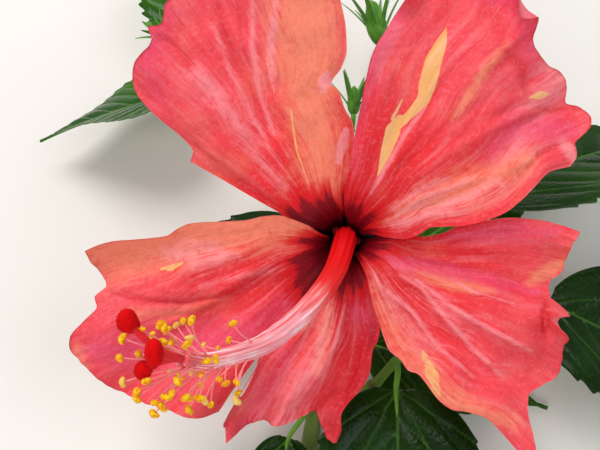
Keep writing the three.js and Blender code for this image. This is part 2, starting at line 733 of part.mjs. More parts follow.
function leafSolid(leaf) {
  const curve = leafForm(leaf);
  const toothed = (t) => t > TOOTHED_FROM && t < TOOTHED_TO;
  const edge = (t) => (Math.round(t * LEAF_ROWS) % 2 ? TOOTH_DEPTH : -TOOTH_NOTCH * TOOTH_DEPTH);
  const tooth = (t) => (toothed(t) ? edge(t) : 0);
  const pointAt = (t, c) => leafPoint(leaf, curve, t, c, tooth(t));
  const normalAt = (t) => leafFrame(leaf, curve, t).normal;
  const blade = solidOf(bladeGeometry(LEAF_ROWS, LEAF_COLUMNS, LEAF_THICK, pointAt, normalAt));
  const root = curveOf(leaf.on.path).getPointAt(Math.min(leaf.at, 1));
  const inside = curve.getPoint(PETIOLE_INSIDE);
  const stalk = stalkCurve(root, vec(leaf.base), inside);
  const radiusAt = (u) => PETIOLE_RADIUS * lerp(...PETIOLE_TAPER, u);
  const petiole = solidOf(limbGeometry(stalk, radiusAt, PETIOLE_STEPS, PETIOLE_SIDES));
  return clearOf(joined([blade, petiole]), leaf.on);
}

// A stalk that leaves its limb, rises a little and runs on into what it carries
function stalkCurve(root, end, inside) {
  const middle = root.clone().lerp(end, 0.5).add(new THREE.Vector3(0, 0, PETIOLE_RISE));
  return new THREE.CatmullRomCurve3([root, middle, end, inside], false, "centripetal");
}

// A green bud: an egg-shaped heart among narrow bracts, on its own stalk
function budSolid(bud) {
  const aim = vec(bud.aim).normalize();
  const foot = vec(bud.foot);
  const root = curveOf(bud.on.path).getPointAt(Math.min(bud.at, 1));
  const stalk = stalkCurve(root, foot, foot.clone().addScaledVector(aim, BUD_SEAT));
  const heart = new THREE.LineCurve3(foot, foot.clone().addScaledVector(aim, bud.length));
  const bulge = (u) => BUD_SWELL_SHARE * Math.sin(Math.PI * u ** BUD_SWELL_PLACE);
  const swell = (u) => bud.length * (BUD_FOOT_SHARE + bulge(u));
  const pieces = [
    solidOf(limbGeometry(stalk, () => bud.stalk, BUD_STEPS, BUD_STALK_SIDES)),
    solidOf(limbGeometry(heart, swell, BUD_STEPS, BUD_SIDES)),
  ];
  ringDirections(aim, bud.bracts, BUD_BRACT_START).forEach((out, k) => {
    const length = bud.bractLength * lerp(...BUD_BRACT_LENGTHS, scatter(k, 5));
    const spread = lerp(...BUD_BRACT_SPREADS, scatter(k, 6));
    const start = foot.clone().addScaledVector(out, BUD_BRACT_OFFSET).addScaledVector(aim, BUD_BRACT_OFFSET);
    pieces.push(bractSolid(start, aim, out, length, BUD_BRACT_WIDTH, spread));
  });
  return clearOf(joined(pieces), bud.on);
}

// The branch
const branch = new THREE.Group();
const add = (parent, name, solid, look) => {
  const mesh = new THREE.Mesh(geometryOfSolid(solid), look);
  mesh.name = name;
  parent.add(mesh);
};

add(branch, STEM.name, limbSolid(STEM), MATERIALS.stem);
[LEFT_TWIG, RIGHT_TWIG].forEach((twig) => {
  add(branch, twig.name, clearOf(limbSolid(twig), STEM), MATERIALS.stem);
});
LEAVES.forEach((leaf) => add(branch, leaf.name, leafSolid(leaf), MATERIALS.leaf));
BUDS.forEach((bud) => add(branch, bud.name, budSolid(bud), MATERIALS.bud));

// The bloom, built upright about its own axis and then leaned
const bloom = new THREE.Group();
bloom.matrixAutoUpdate = false;
bloom.matrix
  .makeRotationX(BLOOM_LEAN_BACK * DEG)
  .multiply(new THREE.Matrix4().makeRotationY(-BLOOM_LEAN_LEFT * DEG))
  .setPosition(BLOOM_FOOT);
PETALS.forEach((petal) => add(bloom, petal.name, petalSolid(petal), MATERIALS.petal));
add(bloom, "stamen_column", columnSolid(), MATERIALS.column);
add(bloom, "stigmas", stigmaSolid(), MATERIALS.stigma);
add(bloom, "calyx", calyxSolid(), MATERIALS.calyx);
add(bloom, "epicalyx", epicalyxSolid(), MATERIALS.calyx);
branch.add(bloom);

// The flower stalk ends square to the bloom's axis, inside the collar of bracts
const stalkTop = new THREE.Vector3(0, 0, CALYX_BOTTOM - GAP).applyMatrix4(bloom.matrix);
const stalkNear = new THREE.Vector3(0, 0, CALYX_BOTTOM - STALK_STRAIGHT).applyMatrix4(bloom.matrix);
const stalkPath = new THREE.CatmullRomCurve3([...STALK_PATH.map(vec), stalkNear, stalkTop]);
const stalk = solidOf(limbGeometry(stalkPath, () => STALK_RADIUS, STALK_ROWS, LIMB_SIDES));
add(branch, "flower_stalk", clearOf(stalk, STEM), MATERIALS.calyx);

// The origin stands on the ground under the middle of the whole branch
branch.updateMatrixWorld(true);
const box = new THREE.Box3().setFromObject(branch, true);
const centre = box.getCenter(new THREE.Vector3());
branch.position.set(-centre.x, -centre.y, -box.min.z);

export default branch;
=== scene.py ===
"""A cut flowering branch of hibiscus, lying down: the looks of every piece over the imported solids.

Shapes are worked out in millimetres, in the branch's own frame or in the bloom's, and are written in
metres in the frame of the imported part.
"""
import json
import logging
import math
from dataclasses import dataclass, field
from enum import Enum

import bpy
import numpy as np
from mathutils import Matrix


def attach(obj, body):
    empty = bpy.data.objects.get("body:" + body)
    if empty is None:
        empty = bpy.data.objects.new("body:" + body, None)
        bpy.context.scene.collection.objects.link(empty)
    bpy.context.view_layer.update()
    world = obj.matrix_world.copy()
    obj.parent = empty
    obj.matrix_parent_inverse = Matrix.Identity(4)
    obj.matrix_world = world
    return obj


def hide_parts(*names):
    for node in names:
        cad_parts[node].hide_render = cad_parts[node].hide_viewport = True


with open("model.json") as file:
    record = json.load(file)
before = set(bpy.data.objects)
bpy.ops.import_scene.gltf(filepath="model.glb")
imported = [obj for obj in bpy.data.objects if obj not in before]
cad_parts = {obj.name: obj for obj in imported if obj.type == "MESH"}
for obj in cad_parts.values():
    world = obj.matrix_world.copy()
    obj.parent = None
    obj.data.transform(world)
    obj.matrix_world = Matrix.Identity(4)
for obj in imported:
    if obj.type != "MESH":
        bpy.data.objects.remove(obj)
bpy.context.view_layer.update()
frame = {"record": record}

log = logging.getLogger("hibiscus")
Array = np.ndarray
Pairs = tuple[tuple[float, float], ...]
Colour = tuple[float, float, float, float]
Material = bpy.types.Material
Socket = bpy.types.NodeSocket
UP = np.array([0, 0, 1.0])

BODY = "root"
# Clear space between neighbouring pieces, in millimetres.
GAP = 0.3
# The distance from the bloom's axis that a petal's field "reach" counts as 1.
REACH_UNIT = 80.0
# The turn from one stamen, or one leaf scar, to the next.
GOLDEN_TURN = math.radians(137.508)


def smooth(x: Array | float) -> Array:
    """Ease from 0 to 1 as x does."""
    t = np.clip(x, 0.0, 1.0)
    return t * t * (3.0 - 2.0 * t)


def lerp(a: Array | float, b: Array | float, share: Array | float) -> Array | float:
    """Read between a and b."""
    return a + (b - a) * share


def unit(v: Array) -> Array:
    """Scale vectors to a length of one."""
    return v / np.maximum(np.linalg.norm(v, axis=-1, keepdims=True), 1e-9)


def through(places: Array, values: Array, x: Array) -> Array:
    """Read a smooth curve that passes through points and doesn't overshoot between them.

    Args:
        places: rising places of the points.
        values: the value at each place.
        x: where to read the curve.

    Returns:
        The values at x, held level beyond both ends.
    """
    xs, ys = np.asarray(places, float), np.asarray(values, float)
    gaps = np.diff(xs)
    steps = np.diff(ys) / gaps
    slopes = np.zeros_like(ys)
    agree = steps[:-1] * steps[1:] > 0
    slopes[1:-1][agree] = (2 * steps[:-1] * steps[1:])[agree] / (steps[:-1] + steps[1:])[agree]
    slopes[0], slopes[-1] = steps[0], steps[-1]
    x = np.clip(x, xs[0], xs[-1])
    i = np.clip(np.searchsorted(xs, x, side="right") - 1, 0, len(gaps) - 1)
    u = (x - xs[i]) / gaps[i]
    rise = u * u * (3 - 2 * u)
    lead = (u**3 - 2 * u**2 + u) * gaps[i] * slopes[i] + (u**3 - u**2) * gaps[i] * slopes[i + 1]
    return ys[i] + (ys[i + 1] - ys[i]) * rise + lead


def ripple(x: Array, y: Array, seed: int, lengths: tuple[float, float], lean: float = 1.0) -> Array:
    """Sum a few seeded waves into a soft crumple, from about -1 to 1.

    Args:
        x: place across, in millimetres.
        y: place along, in millimetres.
        seed: picks the waves.
        lengths: the shortest and longest wave.
        lean: how far the waves' directions may turn away from x, in radians.

    Returns:
        The height of the crumple at each place.
    """
    draw = np.random.default_rng(seed)
    waves = 7
    total = np.zeros(np.broadcast(x, y).shape)
    for _ in range(waves):
        turn = draw.uniform(-lean, lean)
        pitch = 2 * math.pi / draw.uniform(*lengths)
        total += np.sin(pitch * (x * math.cos(turn) + y * math.sin(turn)) + draw.uniform(0, 6.3))
    return total / math.sqrt(waves)


def scatter(n: int, salt: int) -> float:
    """Give a steady value from 0 to 1 for each whole number."""
    s = math.sin(n * 12.9898 + salt * 78.233) * 43758.5453
    return s - math.floor(s)


def distance_to(line: Array, points: Array) -> tuple[Array, Array]:
    """Measure how far points lie from a line of straight stretches.

    Args:
        line: the line's corners, one row each.
        points: the places to measure from, in an array whose last axis holds the coordinates.

    Returns:
        The distance, and how many stretches along the line the nearest place is.
    """
    best = np.full(points.shape[:-1], np.inf)
    place = np.zeros(points.shape[:-1])
    for k, (a, b) in enumerate(zip(line[:-1], line[1:])):
        span = b - a
        u = np.clip(((points - a) @ span) / (span @ span), 0, 1)
        gap = np.linalg.norm(points - a - u[..., None] * span, axis=-1)
        nearer = gap < best
        best = np.where(nearer, gap, best)
        place = np.where(nearer, k + u, place)
    return best, place


class Course:
    """A smooth line through points, read by the share of its length."""

    SAMPLES = 40

    def __init__(self, points: Array | tuple) -> None:
        """Lay the line.

        Args:
            points: the places that it passes through.
        """
        given = np.asarray(points, float)
        ends = (2 * given[0] - given[1], 2 * given[-1] - given[-2])
        p = np.vstack([ends[0], given, ends[1]])
        u = np.linspace(0, 1, self.SAMPLES, endpoint=False)[:, None]
        rows = []
        for i in range(1, len(p) - 2):
            d0, d1, d2 = (np.linalg.norm(p[i + k] - p[i + k - 1]) ** 0.5 for k in range(3))
            leave = ((p[i] - p[i - 1]) / d0 - (p[i + 1] - p[i - 1]) / (d0 + d1)) * d1 + p[i + 1] - p[i]
            reach = ((p[i + 2] - p[i + 1]) / d2 - (p[i + 2] - p[i]) / (d1 + d2)) * d1 + p[i + 1] - p[i]
            h = u * u * (3 - 2 * u)
            bend = (u**3 - 2 * u**2 + u) * leave + (u**3 - u**2) * reach
            rows.append(p[i] + (p[i + 1] - p[i]) * h + bend)
        self.line = np.vstack([*rows, given[-1:]])
        lengths = np.concatenate([[0], np.cumsum(np.linalg.norm(np.diff(self.line, axis=0), axis=1))])
        self.length = float(lengths[-1])
        self.shares = lengths / self.length

    def at(self, share: Array | float) -> Array:
        """Give the points at shares of the length."""
        return np.stack([np.interp(share, self.shares, self.line[:, k]) for k in range(3)], axis=-1)

    def ahead(self, share: Array | float) -> Array:
        """Give the line's direction at shares of the length."""
        step, share = 0.5 / self.SAMPLES, np.asarray(share, float)
        return unit(self.at(np.minimum(share + step, 1)) - self.at(np.maximum(share - step, 0)))

    def frames(self, shares: Array) -> tuple[Array, Array, Array]:
        """Carry two directions square to the line along it, without twist.

        Args:
            shares: where they are wanted, rising.

        Returns:
            The points, and the two directions at each.
        """
        ahead = self.ahead(shares)
        start = np.array([1.0, 0, 0]) if abs(ahead[0][0]) < 0.7 else np.array([0, 0, 1.0])
        sides = np.zeros_like(ahead)
        side = start
        for k, way in enumerate(ahead):
            side = unit(side - way * (side @ way))
            sides[k] = side
        return self.at(shares), sides, np.cross(ahead, sides)


def bow(a: Array, b: Array, c: Array, t: Array) -> Array:
    """Bend a line from a to c, drawn towards b.

    Args:
        a: where it starts.
        b: the place that it leans to.
        c: where it ends.
        t: how far along, 0 to 1.

    Returns:
        The points of the line.
    """
    t = np.asarray(t, float)[..., None]
    return a * (1 - t) ** 2 + b * 2 * t * (1 - t) + c * t * t


@dataclass(frozen=True)
class Placing:
    """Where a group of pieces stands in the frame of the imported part."""

    turn: Array
    shift: Array

    def packed(self, points: Array) -> Array:
        """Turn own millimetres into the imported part's."""
        return points @ self.turn.T + self.shift

    def metres(self, points: Array) -> Array:
        """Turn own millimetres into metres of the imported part."""
        return self.packed(points) / 1000.0

    def own(self, points: Array) -> Array:
        """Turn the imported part's millimetres into own ones."""
        return (points - self.shift) @ self.turn

    def own_way(self, way: Array) -> Array:
        """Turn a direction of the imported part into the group's own."""
        return way @ self.turn


@dataclass
class Body:
    """One closed body: points, faces of three or four corners, fields on the points, and its map."""

    points: Array
    faces: list[Array]
    fields: dict[str, Array] = field(default_factory=dict)
    uv: Array | None = None


def grid_faces(rows: int, columns: int, start: int = 0, closed: bool = False) -> Array:
    """Join a grid of points into four-cornered faces.

    Args:
        rows: how many rows of points there are.
        columns: how many points are in a row.
        start: the number of the first point.
        closed: whether each row runs round to its own start.

    Returns:
        The faces' corners, one row each.
    """
    wide = columns if closed else columns - 1
    i, j = np.meshgrid(np.arange(rows - 1), np.arange(wide), indexing="ij")
    after = (j + 1) % columns
    corners = (i * columns + j, i * columns + after, (i + 1) * columns + after, (i + 1) * columns + j)
    return np.stack([c.ravel() for c in corners], axis=1) + start


def around(count: int) -> Array:
    """Give even turns round a circle, in radians."""
    return np.linspace(0, 2 * math.pi, count, endpoint=False)


def fan(tip: int, first: Array, second: Array) -> Array:
    """Join each pair of neighbours on a ring to one tip."""
    return np.stack([np.full(len(first), tip), first, second], axis=1)


def capped(start: float, rings: int, foot: Array | tuple, head: Array | tuple) -> tuple[Array, Array]:
    """Lay a tube's rings along a course, with smaller ones that round off both ends.

    Args:
        start: the share of the course where the tube starts.
        rings: how many full rings there are.
        foot: the scales of the rings that close its start.
        head: the scales of the rings that close its end.

    Returns:
        The share of the course and the scale of each ring.
    """
    shares = np.concatenate([[start] * len(foot), np.linspace(start, 1, rings), [1.0] * len(head)])
    return shares, np.concatenate([foot, np.ones(rings), head])


def tube(centres: Array, sides: Array, ups: Array, radii: Array, fields: dict[str, Array | float]) -> Body:
    """Build a closed tube.

    Args:
        centres: the middle of each ring.
        sides: one direction across at each ring.
        ups: the other direction across.
        radii: the radius at each ring and side.
        fields: values on the rings' points, one for all or shaped like the radii.

    Returns:
        The tube, closed by a fan of faces at each end.
    """
    rows, count = radii.shape
    turn = around(count)
    out = sides[:, None] * np.cos(turn)[:, None] + ups[:, None] * np.sin(turn)[:, None]
    skin = (centres[:, None] + out * radii[..., None]).reshape(-1, 3)
    points = np.vstack([skin, centres[:1], centres[-1:]])
    ring = np.arange(count)
    after = (ring + 1) % count
    last = (rows - 1) * count
    foot = fan(rows * count, after, ring)
    head = fan(rows * count + 1, last + ring, last + after)
    grids = {key: np.broadcast_to(value, radii.shape) for key, value in fields.items()}
    kept = {key: np.concatenate([grid.ravel(), grid[0, :1], grid[-1, :1]]) for key, grid in grids.items()}
    return Body(points, [grid_faces(rows, count, closed=True), foot, head], kept)


def sheet_body(middle: Array, thick: Array, fields: dict[str, Array | float]) -> Body:
    """Build a thin closed blade from its middle surface, with a map of its two faces side by side.

    Args:
        middle: a grid of points, rows from foot to tip, columns from one side edge to the other.
        thick: the thickness at each.
        fields: values at each, or one for all, carried by both faces.

    Returns:
        The blade. Its field "under" is 0 on the upper face and 1 on the lower.
    """
    rows, columns = thick.shape
    along, across = np.gradient(middle, axis=0), np.gradient(middle, axis=1)
    off = unit(np.cross(along, across)) * thick[..., None] / 2
    count = rows * columns
    points = np.vstack([(middle + off).reshape(-1, 3), (middle - off).reshape(-1, 3)])
    upper = grid_faces(rows, columns)[:, ::-1]
    lower = grid_faces(rows, columns, count)
    border = np.concatenate([
        np.arange(columns),
        np.arange(1, rows) * columns + columns - 1,
        (rows - 1) * columns + np.arange(columns - 2, -1, -1),
        np.arange(rows - 2, 0, -1) * columns,
    ])
    after = np.roll(border, -1)
    rim = np.stack([border, after, after + count, border + count], axis=1)
    left, right, wide = 0.01, 0.515, 0.475
    low, high, rim_low, rim_high = 0.01, 0.96, 0.975, 0.99
    v, u = np.meshgrid(np.linspace(low, high, rows), np.linspace(0, 1, columns), indexing="ij")
    places = np.vstack([np.stack([x + wide * u.ravel(), v.ravel()], axis=1) for x in (left, right)])
    step = np.arange(len(border)) / len(border)
    ahead = step + 1 / len(border)
    corners = ((step, rim_low), (ahead, rim_low), (ahead, rim_high), (step, rim_high))
    strip = np.stack([np.stack([x, np.full_like(x, y)], axis=1) for x, y in corners], axis=1)
    uv = np.concatenate([part.reshape(-1, 2) for part in (places[upper], places[lower], strip)])
    kept = {key: np.tile(np.broadcast_to(value, thick.shape).ravel(), 2) for key, value in fields.items()}
    kept["under"] = np.repeat([0.0, 1.0], count)
    return Body(points, [upper, lower, rim[:, ::-1]], kept, uv)


def write_piece(
    name: str,
    bodies: list[Body],
    placing: Placing,
    look: Material,
    nodes: tuple[str, ...] = (),
    crease: float = 0.0,
) -> None:
    """Write bodies as one piece that rides on the part.

    Args:
        name: the piece's name.
        bodies: what it is made of.
        placing: where they stand.
        look: their material.
        nodes: the solids that the piece stands for.
        crease: the angle in degrees past which an edge is sharp, or 0 for none.
    """
    corners, starts, shift, at = [], [], 0, 0
    for body in bodies:
        for faces in body.faces:
            corners.append((faces + shift).ravel())
            starts.append(at + np.arange(len(faces)) * faces.shape[1])
            at += faces.size
        shift += len(body.points)
    mesh = bpy.data.meshes.new(name)
    points = placing.metres(np.vstack([b.points for b in bodies]))
    mesh.vertices.add(len(points))
    mesh.vertices.foreach_set("co", points.astype(np.float32).ravel())
    mesh.loops.add(at)
    mesh.loops.foreach_set("vertex_index", np.concatenate(corners).astype(np.int32))
    starts = np.concatenate(starts).astype(np.int32)
    mesh.polygons.add(len(starts))
    mesh.polygons.foreach_set("loop_start", starts)
    mesh.update(calc_edges=True)
    mesh.shade_smooth()
    if crease:
        mesh.set_sharp_from_angle(angle=math.radians(crease))
    for key in bodies[0].fields:
        values = np.concatenate([b.fields[key] for b in bodies]).astype(np.float32)
        mesh.attributes.new(key, "FLOAT", "POINT").data.foreach_set("value", values)
    if bodies[0].uv is not None:
        uv = np.concatenate([b.uv for b in bodies]).astype(np.float32)
        mesh.uv_layers.new(name="OFBake").data.foreach_set("uv", uv.ravel())
    mesh.materials.append(look)
    piece = bpy.data.objects.new(name, mesh)
    bpy.context.scene.collection.objects.link(piece)
    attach(piece, BODY)
    if nodes:
        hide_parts(*nodes)
    log.info("%s: %d points, %d faces", name, len(points), len(starts))


def srgb(red: int, green: int, blue: int) -> Colour:
    """Turn a colour as a screen shows it, 0 to 255, into the shader's own values."""
    return (*(((c / 255 + 0.055) / 1.055) ** 2.4 if c > 10 else c / 3295 for c in (red, green, blue)), 1.0)


class Recipe:
    """Lays out the nodes of one material."""

    def __init__(self, name: str, roughness: float, **settings: float) -> None:
        """Start from a plain shader.

        Args:
            name: the material's name.
            roughness: the shader's roughness.
            settings: other constant sockets, by their name with _ for each space.
        """
        self.material = bpy.data.materials.new(name)
        self.material.use_nodes = True
        self.nodes = self.material.node_tree.nodes
        self.links = self.material.node_tree.links
        self.shader = self.nodes["Principled BSDF"]
        self.shader.inputs["Roughness"].default_value = roughness
        for key, value in settings.items():
            self.shader.inputs[key.replace("_", " ")].default_value = value

    def node(self, kind: str, inputs: dict, **settings: object) -> bpy.types.Node:
        """Add a node.

        Args:
            kind: the node's type, without the shader prefix.
            inputs: what goes into its sockets, by name or number: a value, or another node's socket.
            settings: the node's own settings.

        Returns:
            The node.
        """
        made = self.nodes.new("ShaderNode" + kind)
        for key, value in settings.items():
            setattr(made, key, value)
        for key, value in inputs.items():
            if isinstance(value, bpy.types.NodeSocket):
                self.links.new(value, made.inputs[key])
            else:
                made.inputs[key].default_value = value
        return made

    def field(self, name: str) -> Socket:
        """Read a field of the mesh."""
        return self.node("Attribute", {}, attribute_name=name).outputs["Fac"]

    def place(self, x: object, y: object, z: object) -> Socket:
        """Join three values into a place."""
        return self.node("CombineXYZ", {0: x, 1: y, 2: z}).outputs[0]

    def here(self) -> Socket:
        """Give the place on the piece, in metres."""
        return self.node("TexCoord", {}).outputs["Object"]

    def work(self, how: str, a: object, b: object = 0.0) -> Socket:
        """Work out one value from two."""
        return self.node("Math", {0: a, 1: b}, operation=how).outputs[0]

    def plus(self, a: object, b: object) -> Socket:
        """Add two values."""
        return self.work("ADD", a, b)

    def minus(self, a: object, b: object) -> Socket:
        """Take the second value from the first."""
        return self.work("SUBTRACT", a, b)

    def times(self, a: object, b: object) -> Socket:
        """Multiply two values."""
        return self.work("MULTIPLY", a, b)

    def swing(self, noise: Socket, size: float) -> Socket:
        """Centre a noise on nought and scale it."""
        return self.times(self.minus(noise, 0.5), size)

    def noise(self, scale: float, detail: float = 2.0, swirl: float = 0.0, place: object = None) -> Socket:
        """Give a soft random value.

        Args:
            scale: how many lumps there are to a unit.
            detail: how many finer layers it has.
            swirl: how far it is drawn about.
            place: where it is read, or None for the place on the piece.

        Returns:
            The value, about 0.2 to 0.8.
        """
        values = {"Vector": place or self.here(), "Scale": scale, "Detail": detail, "Distortion": swirl}
        return self.node("TexNoise", values).outputs["Fac"]

    def step(self, value: object, low: float, high: float, to: tuple[float, float] = (0, 1)) -> Socket:
        """Ease a value between two limits.

        Args:
            value: what is read.
            low: where the step starts.
            high: where it ends.
            to: the values before and after it.

        Returns:
            The eased value.
        """
        values = {"Value": value, "From Min": low, "From Max": high, "To Min": to[0], "To Max": to[1]}
        return self.node("MapRange", values, interpolation_type="SMOOTHSTEP").outputs["Result"]

    def mix(self, share: object, a: object, b: object) -> Socket:
        """Mix two colours."""
        return self.node("Mix", {0: share, 6: a, 7: b}, data_type="RGBA").outputs[2]

    def washes(self, body: Socket, *rows: tuple) -> Socket:
        """Lay colours over one another.

        Args:
            body: the colour below them.
            rows: for each, the value that places it, where it starts, where it is full, how much of
                it shows there, and the colour.

        Returns:
            The colour on top.
        """
        for value, start, full, most, colour in rows:
            body = self.mix(self.step(value, start, full, (0, most)), body, colour)
        return body

    def ramp(self, value: object, stops: tuple) -> Socket:
        """Read a colour from a row of them.

        Args:
            value: where it is read, 0 to 1.
            stops: the places and colours.

        Returns:
            The colour.
        """
        made = self.node("ValToRGB", {0: value})
        row = made.color_ramp.elements
        while len(row) < len(stops):
            row.new(0.5)
        for element, (place, colour) in zip(row, stops):
            element.position = place
            element.color = colour
        return made.outputs["Color"]

    def colour(self, value: Socket) -> None:
        """Give the shader its colour."""
        self.links.new(value, self.shader.inputs["Base Color"])

    def rough(self, value: Socket) -> None:
        """Give the shader a roughness that varies."""
        self.links.new(value, self.shader.inputs["Roughness"])

    def relief(self, height: Socket, depth: float, strength: float = 1.0) -> None:
        """Raise a fine relief.

        Args:
            height: the relief's height, 0 to 1.
            depth: how high 1 is, in metres.
            strength: how much of it shows.
        """
        bump = self.node("Bump", {"Strength": strength, "Distance": depth, "Height": height})
        self.links.new(bump.outputs["Normal"], self.shader.inputs["Normal"])


class Tint(Enum):
    """The kinds of patch that break a petal's coral, each a field on its mesh. Some pale strokes along the
    ridges of folds are painted highlight, and some wine strokes in grooves are painted shade.
    """

    CREAM = "cream"
    PALE_AND_HIGHLIGHT = "pale"
    WARM = "warm"
    ROSE = "rose"
    WINE_AND_SHADE = "wine_and_shade"


CREAM, PALE_AND_HIGHLIGHT, WARM, ROSE, WINE_AND_SHADE = Tint


@dataclass(frozen=True)
class PetalSilk:
    """The petals' finish: coral silk with fine drawn-out veins, crepe, patches and a maroon eye, with painted
    highlight on raised relief and painted shade in its hollows and deep in the throat.
    """

    coral: Colour = srgb(228, 70, 80)
    scarlet: Colour = srgb(224, 46, 52)
    hem: Colour = srgb(226, 66, 76)
    blush: Colour = srgb(234, 108, 116)
    blood: Colour = srgb(204, 10, 20)
    maroon: Colour = srgb(128, 0, 18)
    night: Colour = srgb(98, 0, 14)
    # The darkest colour at the claws' foot, deep in the throat: the eye's own maroon darkened further as
    # painted shade.
    throat_maroon_and_shade: Colour = srgb(48, 0, 8)
    cream: Colour = srgb(224, 164, 92)
    butter: Colour = srgb(228, 178, 120)
    pale: Colour = srgb(240, 146, 152)
    warm: Colour = srgb(232, 134, 102)
    rose: Colour = srgb(220, 70, 104)
    wine_and_shade: Colour = srgb(196, 26, 38)
    grain_scale: float = 520.0
    cloud_scale: float = 60.0
    crepe_scale: float = 900.0
    relief_depth: float = 0.0005
    relief_share: float = 0.42

    def fibres(self, r: Recipe, across: float, along: float, salt: float, swirl: float) -> Socket:
        """Give a noise that is drawn out along the petal.

        Args:
            r: the finish that it goes into.
            across: how many lumps there are from side to side.
            along: how many there are from foot to margin.
            salt: picks another pattern.
            swirl: how far it wanders.

        Returns:
            The value, about 0.2 to 0.8.
        """
        share, reach = r.times(r.field("share"), across), r.times(r.field("reach"), along)
        return r.noise(1.0, 3.0, swirl, r.place(share, reach, r.plus(r.field("seed"), salt)))

    def material(self) -> Material:
        """Lay out the finish.

        Returns:
            Its material.
        """
        r = Recipe("petal_silk", 0.5, Specular_IOR_Level=0.16)
        reach = r.field("reach")
        fine = self.fibres(r, 105.0, 9.0, 0.0, 0.15)
        broad = self.fibres(r, 24.0, 3.2, 7.0, 0.35)
        lines = self.fibres(r, 38.0, 4.0, 13.0, 0.5)
        grain = r.noise(self.grain_scale, 4.0, 0.4)
        cloud = r.noise(self.cloud_scale, 3.0, 0.5)
        crepe = r.noise(self.crepe_scale, 2.0, 0.3)
        body = r.ramp(reach, (
            (0.0, self.blood), (0.2, self.blood), (0.42, self.scarlet), (0.7, self.coral), (1.0, self.hem),
        ))
        body = r.washes(
            body,
            (broad, 0.44, 0.76, 0.6, self.blush),
            (broad, 0.44, 0.26, 0.25, self.wine_and_shade),
            (cloud, 0.5, 0.78, 0.3, self.warm),
        )
        tuft = r.plus(r.swing(fine, 0.8), r.swing(grain, 0.5))
        loose = r.plus(tuft, r.swing(broad, 0.7))
        for tint, colour, most in (
            (WARM, self.warm, 0.82), (PALE_AND_HIGHLIGHT, self.pale, 0.7),
            (ROSE, self.rose, 0.78), (WINE_AND_SHADE, self.wine_and_shade, 0.85),
        ):
            body = r.washes(body, (r.plus(r.field(tint.value), loose), 0.1, 1.0, most, colour))
        # These washes turn paler where the fine fibres, grain and crepe stand high in the relief and wine
        # where they sink: the silk's own grain with painted highlight and shade on that relief.
        body = r.washes(
            body,
            (fine, 0.54, 0.74, 0.42, self.blush),
            (fine, 0.44, 0.28, 0.2, self.wine_and_shade),
            (grain, 0.46, 0.3, 0.16, self.wine_and_shade),
            (crepe, 0.52, 0.7, 0.14, self.pale),
            (crepe, 0.46, 0.32, 0.12, self.wine_and_shade),
        )
        # Fine dark lines that are also sunk in the relief: vein colour with painted shade in their grooves.
        crease = r.step(r.work("ABSOLUTE", r.minus(lines, 0.5)), 0.035, 0.0)
        body = r.mix(r.times(crease, r.step(cloud, 0.4, 0.65, (0.0, 0.16))), body, self.wine_and_shade)
        splash = r.plus(r.field(CREAM.value), r.times(tuft, 0.5))
        flame = r.plus(r.field("eye"), r.plus(r.times(tuft, 5.0), r.swing(broad, 7.0)))
        body = r.washes(
            body,
            (splash, 0.4, 0.62, 0.9, r.mix(r.step(broad, 0.3, 0.7), self.cream, self.butter)),
            (flame, 7.0, 1.0, 0.92, self.blood),
            (flame, 1.2, -1.6, 1.0, self.maroon),
            (r.plus(flame, r.swing(broad, 14.0)), -3.0, -9.0, 1.0, self.night),
            # Near-black at the foot of the claws, deep in the throat: the eye's maroon with painted shade.
            (reach, 0.085, 0.055, 1.0, self.throat_maroon_and_shade),
        )
        r.colour(r.mix(r.times(r.field("under"), 0.3), body, self.pale))
        r.rough(r.step(fine, 0.3, 0.7, (0.56, 0.42)))
        height = r.plus(r.plus(r.times(fine, 0.6), r.times(grain, 0.5)), r.times(crepe, 0.6))
        r.relief(r.minus(height, r.times(crease, 0.3)), self.relief_depth, self.relief_share)
        return r.material


@dataclass(frozen=True)
class ColumnWax:
    """The column's finish: red at the foot, pale pink with red lines, and near-white streaks towards the tip
    that are painted highlight.
    """

    shades: tuple[tuple[float, Colour], ...] = (
        (0.0, srgb(120, 2, 12)), (0.08, srgb(190, 4, 14)), (0.3, srgb(222, 16, 20)),
        (0.44, srgb(230, 44, 42)), (0.52, srgb(248, 118, 120)), (0.62, srgb(254, 170, 178)),
        (0.9, srgb(250, 150, 158)), (1.0, srgb(232, 92, 100)),
    )
    # Near-white streaks on the far part of the column: painted highlight.
    painted_highlight: Colour = srgb(255, 236, 236)
    line: Colour = srgb(232, 78, 80)
    thread: Colour = srgb(255, 148, 148)
    collar: Colour = srgb(246, 74, 90)
    lines_from: float = 0.4
    lines_full: float = 0.62

    def material(self) -> Material:
        """Lay out the finish.

        Returns:
            Its material.
        """
        r = Recipe("column_wax", 0.3, Specular_IOR_Level=0.35)
        along = r.field("along")
        streak = r.noise(1.0, 3.0, 0.5, r.place(r.times(r.field("turn"), 10.0), r.times(along, 6.0), 0.0))
        body = r.ramp(along, self.shades)
        far = r.step(along, self.lines_from, self.lines_full)
        # Near-white streaks where the streak noise, which also raises the relief, stands high: painted
        # highlight.
        body = r.mix(r.times(r.step(streak, 0.52, 0.68, (0, 0.9)), far), body, self.painted_highlight)
        body = r.mix(r.times(r.step(streak, 0.46, 0.36, (0, 0.8)), far), body, self.line)
        body = r.mix(r.field("thread"), body, self.thread)
        r.colour(r.mix(r.field("collar"), body, self.collar))
        r.relief(streak, 0.0003, 0.5)
        return r.material


